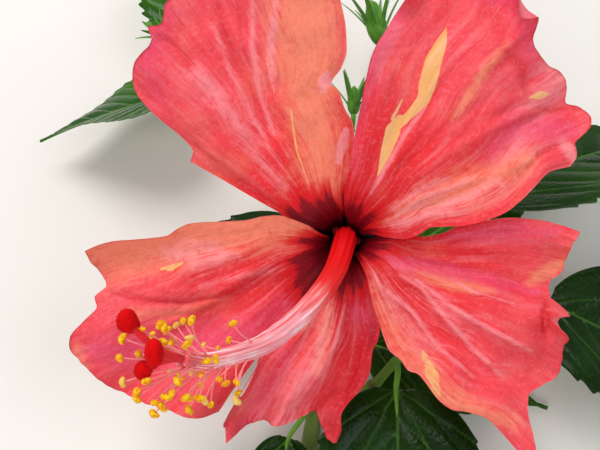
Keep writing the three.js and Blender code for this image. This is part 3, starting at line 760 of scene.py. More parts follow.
@dataclass(frozen=True)
class PollenDust:
    """The pollen heads' finish: dry golden grains, some of them bleached."""

    ochre: Colour = srgb(224, 142, 6)
    gold: Colour = srgb(250, 200, 28)
    bleached: Colour = srgb(240, 208, 130)

    def material(self) -> Material:
        """Lay out the finish.

        Returns:
            Its material.
        """
        r = Recipe("pollen_dust", 0.75, Specular_IOR_Level=0.2)
        lump = r.noise(1600.0)
        body = r.mix(r.step(lump, 0.35, 0.65), self.ochre, self.gold)
        r.colour(r.washes(body, (r.field("bleach"), 0.2, 1.0, 0.7, self.bleached)))
        r.relief(lump, 0.0002, 0.7)
        return r.material


@dataclass(frozen=True)
class StigmaVelvet:
    """The pads' finish: deep red velvet whose hairs end paler."""

    deep: Colour = srgb(206, 0, 4)
    bright: Colour = srgb(224, 2, 6)
    hair_end: Colour = srgb(226, 84, 92)
    style: Colour = srgb(214, 56, 62)
    sheen: Colour = srgb(255, 90, 90)

    def material(self) -> Material:
        """Lay out the finish.

        Returns:
            Its material.
        """
        r = Recipe("stigma_velvet", 0.8, Sheen_Weight=0.15, Sheen_Roughness=0.3, Specular_IOR_Level=0.1)
        r.shader.inputs["Sheen Tint"].default_value = self.sheen
        body = r.mix(r.step(r.noise(500.0), 0.3, 0.7), self.deep, self.bright)
        body = r.washes(body, (r.field("tip"), 0.55, 1.0, 0.6, self.hair_end))
        r.colour(r.mix(r.field("style"), body, self.style))
        return r.material


@dataclass(frozen=True)
class LeafGloss:
    """The leaves' finish: dark waxy green, paler along the veins, with a fine net between them."""

    old: tuple[Colour, Colour] = (srgb(5, 24, 0), srgb(18, 46, 3))
    young: tuple[Colour, Colour] = (srgb(30, 86, 0), srgb(62, 126, 4))
    veins: tuple[Colour, Colour] = (srgb(58, 98, 34), srgb(112, 158, 48))
    underside: Colour = srgb(98, 146, 66)
    stalk: Colour = srgb(104, 152, 54)

    def material(self) -> Material:
        """Lay out the finish.

        Returns:
            Its material.
        """
        r = Recipe("leaf_gloss", 0.28, Specular_IOR_Level=0.15)
        fresh = r.field("fresh")
        patch = r.noise(45.0, 4.0, 0.4)
        old, young = (r.mix(r.step(patch, 0.3, 0.7), *pair) for pair in (self.old, self.young))
        net = r.node("TexVoronoi", {"Vector": r.here(), "Scale": 420.0}, feature="DISTANCE_TO_EDGE")
        cell = net.outputs["Distance"]
        pale = r.mix(fresh, *self.veins)
        body = r.mix(r.step(cell, 0.09, 0.0, (0, 0.1)), r.mix(fresh, old, young), pale)
        body = r.washes(body, (r.field("vein"), 0.3, 1.0, 0.8, pale))
        body = r.mix(r.times(r.field("under"), 0.6), body, self.underside)
        r.colour(r.mix(r.field("stalk"), body, self.stalk))
        r.rough(r.step(patch, 0.3, 0.7, (0.2, 0.32)))
        r.relief(r.step(cell, 0.0, 0.35), 0.00012, 0.4)
        return r.material


@dataclass(frozen=True)
class GreenFlesh:
    """A soft green finish for buds, bracts, calyx and stalk, with fine lengthwise lines and down, and painted
    shade on the calyx's inside.
    """

    name: str
    dark: Colour
    light: Colour
    # Near-black for the calyx's inner floor and wall: painted shade in the cup.
    painted_inner_shade: Colour = srgb(24, 4, 6)

    def material(self) -> Material:
        """Lay out the finish.

        Returns:
            Its material.
        """
        r = Recipe(self.name, 0.5, Sheen_Weight=0.1, Sheen_Roughness=0.5, Specular_IOR_Level=0.35)
        lines = r.noise(1.0, place=r.place(r.times(r.field("across"), 8.0), r.field("along"), 0.0))
        tone = r.plus(r.times(lines, 0.6), r.times(r.noise(120.0, 3.0), 0.4))
        body = r.mix(r.step(tone, 0.35, 0.65), self.dark, self.light)
        body = r.washes(body, (r.field("along"), 0.75, 1.0, 0.45, self.dark))
        # The calyx's inside is painted near-black: painted shade.
        r.colour(r.mix(r.field("inside"), body, self.painted_inner_shade))
        r.relief(r.noise(1500.0), 0.0002, 0.5)
        return r.material


@dataclass(frozen=True)
class Bark:
    """The stem's finish: green-brown bark with pale pores, greener to the tip, and a pale wood cut."""

    green: tuple[Colour, Colour] = (srgb(84, 124, 30), srgb(124, 160, 60))
    brown: tuple[Colour, Colour] = (srgb(94, 84, 58), srgb(142, 132, 96))
    pore: Colour = srgb(176, 164, 130)
    scar: Colour = srgb(92, 76, 52)
    wood: tuple[Colour, Colour] = (srgb(206, 192, 140), srgb(232, 222, 178))

    def material(self) -> Material:
        """Lay out the finish.

        Returns:
            Its material.
        """
        r = Recipe("stem_bark", 0.62, Specular_IOR_Level=0.35)
        along, wood = r.field("along"), r.field("wood")
        grain = r.noise(1.0, 4.0, 0.5, r.place(r.times(r.field("turn"), 6.0), r.times(along, 22.0), 0.0))
        age = r.plus(r.times(along, -1.0), r.times(grain, 0.5))
        body = r.mix(r.step(age, -0.4, 0.1), r.mix(grain, *self.green), r.mix(grain, *self.brown))
        # The inner floor and inner wall are marked to take the painted shade.
        rings = r.noise(1.0, place=r.place(r.times(wood, 9.0), 0.0, 0.0))
        r.colour(r.washes(
            body,
            (r.field("pore"), 0.3, 0.9, 0.7, self.pore),
            (r.field("scar"), 0.3, 0.9, 0.6, self.scar),
            (wood, 0.02, 0.05, 1.0, r.mix(rings, *self.wood)),
        ))
        r.relief(grain, 0.0005, 0.7)
        return r.material


@dataclass(frozen=True)
class Finishes:
    """Every finish of the branch, laid out once."""

    petal: Material
    column: Material
    pollen: Material
    stigma: Material
    leaf: Material
    calyx: Material
    bud: Material
    bark: Material

    @classmethod
    def laid_out(cls) -> "Finishes":
        """Make them all.

        Returns:
            The branch's finishes.
        """
        return cls(
            petal=PetalSilk().material(),
            column=ColumnWax().material(),
            pollen=PollenDust().material(),
            stigma=StigmaVelvet().material(),
            leaf=LeafGloss().material(),
            calyx=GreenFlesh("calyx_green", srgb(86, 124, 44), srgb(138, 172, 76)).material(),
            bud=GreenFlesh("bud_green", srgb(44, 104, 10), srgb(98, 164, 32)).material(),
            bark=Bark().material(),
        )


@dataclass(frozen=True)
class Sight:
    """The camera: its place over the branch, its view down, and where a pixel of its picture looks."""

    place: tuple[float, float, float] = (-14.3, -78.2, 219.1)
    elevation: float = 65.0
    lens: float = 37.0
    sensor: float = 36.0
    # The photograph's width and height in pixels.
    picture: tuple[int, int] = (600, 450)

    def way(self, pixel: tuple[float, float]) -> Array:
        """Give the direction in which a pixel looks.

        Args:
            pixel: its x and y in the photograph's 600 by 450 frame, from the upper left corner.

        Returns:
            The direction in the branch's frame, of length one.
        """
        tilt = math.radians(self.elevation)
        forward = np.array([0, math.cos(tilt), -math.sin(tilt)])
        up = np.array([0, math.sin(tilt), math.cos(tilt)])
        focus = self.lens / self.sensor * self.picture[0]
        x = (pixel[0] - self.picture[0] / 2) / focus
        y = (self.picture[1] / 2 - pixel[1]) / focus
        return unit(forward + np.array([x, 0, 0]) + up * y)

    def stand(self, branch: Placing) -> None:
        """Put the camera up.

        Args:
            branch: where the branch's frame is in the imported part.
        """
        data = bpy.data.cameras.new("camera")
        data.lens, data.sensor_width, data.clip_start = self.lens, self.sensor, 0.005
        camera = bpy.data.objects.new("camera", data)
        camera.location = branch.metres(np.array(self.place))
        camera.rotation_euler = (math.radians(90 - self.elevation), 0, 0)
        bpy.context.scene.collection.objects.link(camera)
        bpy.context.scene.camera = camera


@dataclass(frozen=True)
class Funnel:
    """The bloom's section: a narrow tube of claws that flares until the petals lie spread."""

    claw_radius: float = 4.5
    claw_foot: float = 0.3
    tube_length: float = 8.0
    flare_end: float = 32.0
    tube_slope: float = 6.0
    spread_slope: float = 89.0
    step: float = 0.25
    length: float = 125.0
    lap_near: float = 0.95
    lap_far: float = 2.6

    def spread(self, s: Array) -> Array:
        """Tell how far the petals have spread at a distance along them."""
        return smooth((s - self.tube_length) / (self.flare_end - self.tube_length))

    def slope(self, s: Array) -> Array:
        """Give the section's slope away from the axis, in radians."""
        return np.radians(lerp(self.tube_slope, self.spread_slope, self.spread(s)))

    def section(self) -> tuple[Array, Array, Array]:
        """Give the section as rows of distance along, radius and height.

        Returns:
            The three rows, in millimetres.
        """
        s = np.arange(0, self.length, self.step)
        slope = self.slope(s[1:])
        radius = self.claw_radius + np.concatenate([[0], np.cumsum(np.sin(slope) * self.step)])
        height = self.claw_foot + np.concatenate([[0], np.cumsum(np.cos(slope) * self.step)])
        return s, radius, height

    def at(self, s: Array) -> tuple[Array, Array]:
        """Give the radius and height at a distance along the petals."""
        along, radius, height = self.section()
        return np.interp(s, along, radius), np.interp(s, along, height)

    def reach(self, radius: Array) -> Array:
        """Give the distance along the petals at a radius."""
        along, radii, _ = self.section()
        return np.interp(radius, radii, along)

    def lap(self, s: Array) -> Array:
        """Tell how far an edge is lifted over its neighbour's."""
        return lerp(self.lap_near, self.lap_far, smooth((s - 10) / 32)) * smooth((s - 4) / 7)


@dataclass(frozen=True)
class Setting:
    """What every piece is built with: the camera, both frames, the finishes and the petals' section."""

    sight: Sight
    branch: Placing
    bloom: Placing
    finishes: Finishes
    funnel: Funnel = Funnel()

    def eye(self) -> Array:
        """Give the camera's place in the bloom's frame."""
        return self.bloom.own(self.branch.packed(np.array(self.sight.place)))


@dataclass(frozen=True)
class Stroke:
    """A patch of colour on a petal: its run as bearings and millimetres, and its half widths."""

    tint: Tint
    run: Pairs
    widths: tuple[float, ...]
    soft: float = 2.5
    strength: float = 1.0


def paint(tint: Tint, *rows: tuple) -> tuple[Stroke, ...]:
    """Give the strokes of one tint from the rest of each one's values."""
    return tuple(Stroke(tint, *row) for row in rows)


@dataclass(frozen=True)
class Fold:
    """A ridge (or, below nought, a groove) that runs along a petal."""

    run: Pairs
    height: float
    width: float = 1.4


@dataclass(frozen=True)
class Curl:
    """A stretch of margin that rolls over.

    The roll is centred on one bearing, starts at one distance, and follows a circle of one radius.
    """

    bearing: float
    spread: float
    start: float
    radius: float


def on_plane(run: Pairs) -> Array:
    """Turn bearings and distances into places in the bloom's plane."""
    bearing, reach = np.radians([p[0] for p in run]), np.array([p[1] for p in run])
    return np.stack([reach * np.cos(bearing), reach * np.sin(bearing)], axis=1)


@dataclass(frozen=True)
class Petal:
    """One petal: its two side edges (millimetres, degrees), its margin (degrees, millimetres) and form."""

    node: str
    clockwise: Pairs
    anticlockwise: Pairs
    margin: Pairs
    laps: tuple[float, float]
    lift: float
    reflex: float
    ruffle: float
    waves: float
    phase: float
    eye: tuple[float, float]
    seed: int
    pleat: float = 0.22
    frill: float = 0.9
    wrinkle: float = 0.0
    strokes: tuple[Stroke, ...] = ()
    folds: tuple[Fold, ...] = ()
    curls: tuple[Curl, ...] = ()
    rows: int = 116
    columns: int = 150
    claw_half_angle: float = 30.0
    foot_thick: float = 0.55
    margin_thick: float = 0.26

    def edge(self, pairs: Pairs, end: tuple[float, float], radius: Array, funnel: Funnel) -> Array:
        """Give a side edge's bearing at a distance from the axis.

        Args:
            pairs: the edge's distances and bearings.
            end: the margin's bearing and distance where the edge meets it.
            radius: the distances to read.
            funnel: the bloom's section.

        Returns:
            The bearings in degrees.
        """
        middle = (self.clockwise[0][1] + self.anticlockwise[0][1]) / 2
        turn = -self.claw_half_angle if pairs is self.clockwise else self.claw_half_angle
        claw = ((funnel.claw_radius, middle + turn), (funnel.claw_radius + 1.5, middle + turn))
        rows = [*claw, *pairs]
        if end[1] > rows[-1][0]:
            rows.append((end[1], end[0]))
        return through([p[0] for p in rows], [p[1] for p in rows], radius)

    def edges(self, radius: Array, funnel: Funnel) -> tuple[Array, Array]:
        """Give both side edges' bearings at a distance from the axis."""
        ends = (self.clockwise, self.margin[0]), (self.anticlockwise, self.margin[-1])
        return tuple(self.edge(pairs, end, radius, funnel) for pairs, end in ends)

    def length_at(self, share: Array, funnel: Funnel) -> Array:
        """Give the margin's distance from the axis at a share of the way across.

        Args:
            share: how far across the petal, 0 to 1.
            funnel: the bloom's section.

        Returns:
            The distances.
        """
        bearing = np.array([p[0] for p in self.margin])
        reach = np.array([p[1] for p in self.margin])
        near, far = self.edges(reach, funnel)
        places = (bearing - near) / (far - near)
        places[0], places[-1] = 0.0, 1.0
        return through(places, reach, share)

    def surface(self, funnel: Funnel) -> tuple[Array, dict[str, Array]]:
        """Work out the petal's middle surface.

        Args:
            funnel: the bloom's section.

        Returns:
            The grid of points, and the values that the rest of the petal is worked out from.
        """
        share = np.linspace(0, 1, self.columns)[None, :] * np.ones((self.rows, 1))
        t = (np.linspace(0, 1, self.rows) ** 1.15)[:, None] * np.ones((1, self.columns))
        s = t * funnel.reach(self.length_at(share, funnel))
        radius, height = funnel.at(s)
        near, far = self.edges(radius, funnel)
        bearing = lerp(near, far, share)
        lap = funnel.lap(s) * lerp(self.laps[0], self.laps[1], share)
        outer = smooth((t - 0.3) / 0.7)
        rise = (
            self.lift * (radius / REACH_UNIT) ** 2
            - self.reflex * smooth((t - 0.62) / 0.38) ** 2
            + self.ruffle * outer * np.sin(self.waves * math.pi * share + self.phase)
        )
        upright = 1 - funnel.spread(s)
        flat = radius - lap * upright
        z = height + lap * (1 - upright) + rise
        turned = np.radians(bearing)
        plane = np.stack([radius * np.cos(turned), radius * np.sin(turned)], axis=-1)
        z = z + self.relief(plane, radius, share, t)
        for curl in self.curls:
            window = smooth(1 - np.abs(bearing - curl.bearing) / curl.spread)
            extra = np.maximum(radius - curl.start, 0)
            bend = np.maximum(window / curl.radius, 1e-4)
            flat = np.where(extra > 0, flat - extra + np.sin(bend * extra) / bend, flat)
            z = z + np.where(extra > 0, (1 - np.cos(bend * extra)) / bend, 0)
        points = np.stack([flat * np.cos(turned), flat * np.sin(turned), z], axis=-1)
        return points, {"share": share, "t": t, "radius": radius, "plane": plane}

    def relief(self, plane: Array, radius: Array, share: Array, t: Array) -> Array:
        """Work out the fine forms: pleats, crumples, cross wrinkles, folds and the frilled margin.

        Args:
            plane: the places in the bloom's plane.
            radius: their distance from the axis.
            share: how far across the petal they are.
            t: how far along it.

        Returns:
            How far each place is raised.
        """
        open_part = smooth((radius - 10) / 25)
        across = share * 46
        raised = 0.55 * self.pleat * open_part * ripple(across, radius * 0.3, self.seed, (3.6, 9), 0.5)
        raised += 0.3 * open_part * ripple(plane[..., 0], plane[..., 1], self.seed + 1, (9, 20), 3.1)
        raised += 0.035 * open_part * ripple(plane[..., 0], plane[..., 1], self.seed + 7, (2.2, 4.5), 3.1)
        hem = smooth((t - 0.74) / 0.26) ** 1.5
        raised += self.frill * hem * ripple(across, radius * 0.3, self.seed + 2, (6, 15), 0.5)
        raised += 0.22 * smooth((t - 0.9) / 0.1) * ripple(across, t, self.seed + 3, (1.8, 4), 0.1)
        if self.wrinkle:
            bent = radius + 1.5 * ripple(across, radius, self.seed + 4, (14, 26), 1.5)
            band = smooth((t - 0.4) / 0.25) * smooth((1.02 - t) / 0.2)
            raised += self.wrinkle * band * ripple(bent, across, self.seed + 5, (1.9, 3.8), 0.6)
        for fold in self.folds:
            gap, place = distance_to(on_plane(fold.run), plane)
            ends = smooth(place * 1.5) * smooth((len(fold.run) - 1 - place) * 1.5)
            raised += fold.height * ends * np.exp(-((gap / fold.width) ** 2))
        return raised

    def tints(self, plane: Array) -> dict[str, Array]:
        """Work out the soft fields of the petal's patches, from 0 to 1.

        Args:
            plane: the places in the bloom's plane.

        Returns:
            The field of each tint.
        """
        found = {tint.value: np.zeros(plane.shape[:-1]) for tint in Tint}
        for stroke in self.strokes:
            gap, place = distance_to(on_plane(stroke.run), plane)
            width = np.interp(place, np.arange(len(stroke.widths)), stroke.widths)
            inside = stroke.strength * np.clip(0.5 + (width - gap) / (2 * stroke.soft), 0, 1)
            key = stroke.tint.value
            found[key] = np.maximum(found[key], inside)
        return found

    def body(self, funnel: Funnel) -> Body:
        """Build the petal.

        Args:
            funnel: the bloom's section.

        Returns:
            Its closed body.
        """
        points, known = self.surface(funnel)
        share = known["share"]
        thick = lerp(self.foot_thick, self.margin_thick, smooth(known["t"] * 1.3))
        edge = smooth(np.minimum(share, 1 - share) * 16) * smooth((1 - known["t"]) * 30)
        eye_reach = lerp(self.eye[0], self.eye[1], share)
        flames = 1.5 * ripple(share * 40, share * 0, self.seed + 6, (6, 16), 0.2)
        fields = {
            "share": share,
            "reach": known["radius"] / REACH_UNIT,
            "eye": known["radius"] - eye_reach + flames,
            "seed": float(self.seed),
            **self.tints(known["plane"]),
        }
        return sheet_body(points, thick * lerp(0.45, 1, edge), fields)


UPPER_LEFT = Petal(
    node="petal_upper_left",
    clockwise=((8.5, 86.5), (12, 88.5), (17.3, 87), (21.7, 85), (26.5, 84.6), (32.9, 86), (37.1, 90),
               (42.9, 93), (44, 95), (48.8, 91), (53, 89.4), (59.1, 89.7)),
    anticlockwise=((12, 163), (21.2, 157), (32.9, 154.5), (40.1, 153.6), (44.9, 153.3)),
    margin=((91, 66.9), (97, 77), (108, 84), (118, 85), (126.5, 83.6), (130.4, 79.3), (132.6, 81.4),
            (133.7, 78.4), (136, 77.2), (140, 76.7), (143, 75), (144.9, 71.9), (146.3, 66.1), (147, 61),
            (147.6, 55.5), (149.6, 50.6), (152.9, 50.2)),
    laps=(-1, -1), lift=7, reflex=1, ruffle=2.2, waves=3.2, phase=0.4,
    eye=(10, 18.5), seed=11, pleat=0.2, frill=0.7,
    strokes=paint(CREAM,
        (((112, 40.9), (114.7, 35.3), (118.6, 28.6), (123.2, 18.3)), (0.2, 0.35, 0.3, 0.1), 0.5, 0.9),
    # Most of these pale lines run along the ridges of the folds below: painted highlight on the ridges.
    ) + paint(PALE_AND_HIGHLIGHT,
        (((130.9, 63.4), (131.1, 54.7), (134.2, 42), (136.8, 31.8), (138, 22.5)),
         (1.6, 2.4, 1.8, 1.1, 0.4), 3, 0.95),
        (((111.2, 71.8), (116.1, 59), (120.4, 46.9), (123.6, 36.8)), (0.6, 0.8, 0.8, 0.4), 1.4, 1.05),
        (((113.3, 55.6), (114.7, 50.6), (115.6, 46.4)), (0.3, 0.4, 0.2), 0.5, 1.1),
        (((105.8, 69.5), (110.7, 59), (114.8, 48.5)), (0.8, 0.8, 0.4), 1.4, 1.05),
        (((121.2, 71.7), (123.8, 58.7), (126.6, 44.4), (129, 34.1)), (0.6, 0.8, 0.6, 0.3), 1.4, 0.9),
        (((98.4, 43), (96.9, 45), (95.9, 47)), (0.8, 1.9, 0.5), 0.7, 1.9),
        (((95, 22.4), (91.8, 26.8), (89.5, 31.2)), (0.5, 1.3, 0.6), 0.8, 1.7),
    ) + paint(WARM,
        (((104, 11), (107, 24), (104, 40), (101, 54), (98, 84)), (2, 6, 8, 10, 12), 7, 1.05),
    ) + paint(ROSE,
        (((128, 82), (137.3, 75), (143, 66)), (4, 4, 2), 4, 0.8),
    # The first wine stroke lies in the groove of the third fold below and the second on that groove's flank:
    # painted shade.
    ) + paint(WINE_AND_SHADE,
        (((118.3, 76), (120, 67.6), (120.7, 58.4), (123, 42.5)), (1, 1.3, 1.1, 0.5), 1.6, 0.75),
        (((114.4, 73.5), (117.2, 64), (119.2, 54.3)), (0.9, 0.9, 0.4), 1.2, 0.7),
        (((150, 14), (151, 28), (151.5, 42)), (2, 3, 1.5), 3, 0.7),
    ),
    folds=(
        Fold(((123.6, 20), (121, 36.8), (116.1, 59), (111.2, 76)), 0.8, 1.3),
        Fold(((129, 20), (127, 44), (123.8, 58.7), (121.2, 74)), 0.8, 1.5),
        Fold(((122, 30), (120.7, 58.4), (118.3, 80)), -0.7, 1.3),
        Fold(((112, 36), (110.7, 59), (105.8, 72)), 0.5, 1.2),
        Fold(((138, 18), (133, 40), (129.5, 58)), 0.6, 1.6),
        Fold(((134.3, 79), (131.7, 75.4), (131, 70.2), (130.7, 62)), -1.1, 1.0),
        Fold(((100, 24), (97, 44), (95, 62)), 0.4, 2.2),
    ),
)

UPPER_RIGHT = Petal(
    node="petal_upper_right",
    clockwise=((12, 4), (16, 1.5), (20, 4), (23.5, 8.5), (28, 7.6), (33, 7), (37.9, 8), (42.9, 9.6),
               (48.5, 13), (53, 16), (58.8, 18.6)),
    anticlockwise=((8.5, 90.5), (12, 91), (21.2, 86), (27.6, 85), (34, 83.7), (44.9, 82.5), (49.3, 82),
                   (54.4, 80.7), (58, 79.2), (64.1, 77.3)),
    margin=((18.2, 64.4), (19.9, 66.6), (22.8, 67.4), (24.8, 73.4), (27.1, 75.6), (29.5, 74.8), (32, 72.6),
            (34.9, 74.6), (37.5, 74.9), (40.4, 73.6), (44, 72.9), (46.8, 74.2), (48.4, 78.5), (49.8, 84),
            (54, 85.6), (62, 82), (71, 78), (75.5, 70)),
    laps=(1, 1), lift=4, reflex=6, ruffle=2.6, waves=3.6, phase=2.1,
    eye=(9, 12.5), seed=23, pleat=0.26, frill=1.1, wrinkle=0.1,
    strokes=paint(CREAM,
        (((63.1, 19.7), (65.2, 27), (66.4, 33), (65.8, 37)), (0.1, 1.5, 2.1, 0.9), 0.5),
        (((65.4, 34.5), (62.6, 39), (60.8, 44), (62.4, 49), (63.8, 55), (64, 60), (64.4, 65)),
         (1.2, 1.2, 1.7, 2.3, 2.2, 1.6, 0.1), 0.5),
        (((68.8, 36), (67.8, 42)), (0.5, 0.1), 0.4),
        (((37.7, 63.6), (36.8, 66.4), (35.9, 68.9)), (0.2, 1.1, 0.3), 0.5),
        (((43.3, 75.4), (41.6, 74.6)), (0.5, 0.6), 0.4),
    ) + paint(PALE_AND_HIGHLIGHT,
        (((62.3, 13), (60.8, 22.5), (60.5, 33.7), (58.6, 42.6)), (0.3, 0.6, 0.9, 0.3), 0.9),
        (((79.7, 46), (79, 54), (76.6, 60)), (1.6, 2.6, 2), 2.4, 0.8),
        (((26.1, 16), (27.4, 26.7), (25.6, 40)), (0.8, 1.3, 0.8), 1.6, 0.9),
        (((27, 50), (34.4, 64), (36, 73), (42, 73)), (2, 5, 4, 3), 5, 0.85),
        (((34.2, 15.9), (33.7, 25.1), (31.4, 33)), (0.6, 1.1, 0.6), 1.2, 0.9),
        (((23.8, 65), (20, 66)), (1.6, 1.6), 1.4, 1.1),
        (((16, 14), (18, 28), (20, 44)), (1.4, 2.4, 2), 2.4, 0.8),
    ) + paint(WARM,
        (((48.7, 44), (49.3, 50), (50.7, 59.4), (50.6, 68.5)), (0.6, 1.5, 1.4, 0.5), 1.6),
        (((30, 13), (26, 23.7), (23.5, 35.5), (24.5, 52)), (1.5, 4, 6, 5), 4, 0.8),
    ) + paint(ROSE,
        (((77.6, 64), (80, 52), (82, 40), (85, 20)), (3.5, 3, 2, 1), 3, 0.9),
        (((29.2, 44), (33.7, 55.3), (27.1, 68)), (2, 4, 4), 4, 0.9),
        (((62, 80), (52, 80), (44, 70)), (4, 4, 3), 4, 0.8),
    ) + paint(WINE_AND_SHADE,
        (((50, 66), (44.8, 67.2), (39, 63)), (1.0, 1.6, 0.8), 1.6, 0.85),
        (((73, 18), (74, 34), (73, 46)), (1.6, 3, 1.6), 3, 0.75),
        (((36, 50), (34, 64), (30, 74)), (0.7, 1.3, 1), 1.4, 0.8),
    ),
    folds=(
        Fold(((58, 18), (57, 34), (53, 52), (50, 68)), 0.7, 1.7),
        Fold(((44, 18), (40, 36), (36, 54), (33, 70)), 0.9, 1.8),
        Fold(((41, 46), (37.5, 60), (30, 76)), -0.9, 1.6),
        Fold(((72, 24), (70, 44), (67, 66)), 0.5, 1.8),
        Fold(((33, 14), (28, 28), (24, 44), (23, 60)), 0.7, 1.2),
        Fold(((26, 14), (21, 28), (17, 46)), -0.5, 1.3),
        Fold(((52, 20), (48, 40), (44, 60)), -0.5, 1.3),
        Fold(((65, 20), (62, 40), (59, 62)), 0.5, 1.2),
    ),
    curls=(Curl(51, 9, 74, 3.4), Curl(78, 7, 60, 6)),
)

RIGHT = Petal(
    node="petal_right",
    clockwise=((12, -60), (17, -65.2), (21.5, -67.4), (31.5, -68.6), (36, -65.2), (39, -64.4), (41, -61.6),
               (44, -60.7), (48.8, -60), (53.5, -57.9), (56, -54.9), (61.6, -51.4), (70, -50.9)),
    anticlockwise=((12, 9), (17, 4), (22, 2.6), (27.3, 4), (32, 7.3), (43.5, 8), (52, 6.4), (60, 4)),
    margin=((-50.8, 74.7), (-49.6, 76.8), (-47.9, 75.2), (-45.8, 71.6), (-42.8, 67.7), (-39.6, 66),
            (-35.6, 68), (-33, 69.4), (-29.3, 67.7), (-25.7, 65.8), (-22.8, 66.4), (-19.3, 67.4),
            (-17.6, 63.6), (-15.5, 59.6), (-11.7, 58.6), (-8, 61.9), (-2, 62.2), (2, 64.8)),
    laps=(1, -1), lift=2, reflex=4, ruffle=2.4, waves=4.4, phase=0.9,
    eye=(8, 12.5), seed=37, pleat=0.24, frill=1.1,
    strokes=paint(CREAM,
        (((-55.4, 37), (-57.2, 43), (-59.3, 49)), (1.2, 2.4, 1.3), 0.9, 0.55),
    # The second to the fifth pale lines run along the ridges of the first, second, third and fifth folds
    # below: painted highlight.
    ) + paint(PALE_AND_HIGHLIGHT,
        (((-24, 8), (-27, 14), (-24, 20)), (0.6, 1.4, 0.6), 1.2),
        (((-45, 8.3), (-52.1, 15.9), (-47.1, 26.6), (-49.2, 37.6), (-47.2, 51.3)),
         (0.2, 0.35, 0.45, 0.35, 0.1), 1.1, 1.25),
        (((-32.5, 18.2), (-32.1, 24.7), (-38, 35.4), (-40.3, 45.7), (-41.1, 57.7)),
         (0.2, 0.35, 0.45, 0.35, 0.1), 1.1, 1.25),
        (((-29.7, 22.5), (-31.7, 31.8), (-32, 41.1), (-31.3, 50.9), (-30.7, 59)),
         (0.2, 0.35, 0.45, 0.35, 0.1), 1.1, 1.25),
        (((-16.3, 21.8), (-21.8, 37.5), (-20.6, 49.1)), (0.2, 0.4, 0.2), 0.6),
        (((-50, 9), (-54, 22), (-52, 38)), (2, 4, 4), 5, 0.6),
        (((-29, 12), (-35, 27), (-37, 43)), (1, 2, 2), 4, 0.5),
    ) + paint(WARM,
        (((-22.9, 21.5), (-21.3, 32.3), (-19, 42)), (1.2, 2.2, 0.8), 2, 1.1),
        (((-13, 53.2), (-9, 57), (-6, 61.4)), (1.4, 2.2, 1.4), 1.4, 1.1),
        (((-61.3, 44), (-56, 52), (-52.9, 57.7), (-47.6, 66)), (2, 3, 3, 2), 3, 0.9),
        (((-57, 10), (-63, 21), (-62, 34), (-58, 44)), (2, 4, 4, 3), 5, 0.7),
    ) + paint(ROSE,
        (((-19.2, 7), (-23.7, 15.2), (-18.4, 22.9), (-15.7, 39.1), (-15.2, 55.2)),
         (1, 2, 2.2, 1.8, 1), 2, 1.1),
        (((2, 30), (4, 44), (2, 56)), (2, 3, 2), 3, 0.8),
    # The second wine stroke lies in the groove under the margin's hole, the sixth fold below: painted shadow.
    ) + paint(WINE_AND_SHADE,
        (((-24, 56), (-30, 62), (-38, 62)), (3, 2, 2), 3, 0.6),
        (((-26, 59.5), (-21.7, 58.6), (-17, 57.5)), (0.8, 1.5, 0.7), 1.4, 1.2),
    ),
    folds=(
        Fold(((-45, 8.3), (-52.1, 15.9), (-47.1, 26.6), (-49.2, 37.6), (-47.2, 56)), 1.2, 1.5),
        Fold(((-32.5, 16), (-32.1, 24.7), (-38, 35.4), (-40.3, 45.7), (-41.1, 60)), 1.2, 1.5),
        Fold(((-29.7, 22.5), (-31.7, 31.8), (-32, 41.1), (-31.3, 50.9), (-30.7, 62)), 0.9, 1.4),
        Fold(((-19.2, 10), (-18.4, 22.9), (-14.5, 39.1), (-14, 55.2)), -1.1, 1.8),
        Fold(((-20, 16), (-22.5, 32), (-20.6, 49.1)), 0.9, 1.5),
        Fold(((-26, 60.5), (-21.7, 58.6), (-17, 57.5)), -1.6, 1.3),
        Fold(((-30, 64), (-22, 62.5), (-17, 61)), 1.4, 1.4),
        Fold(((-5, 22), (-3, 36), (-4, 52)), 0.6, 1.4),
        Fold(((-9, 22), (-8, 36), (-9, 52)), -0.5, 1.3),
    ),
    curls=(Curl(-21, 5, 56, 4),),
)

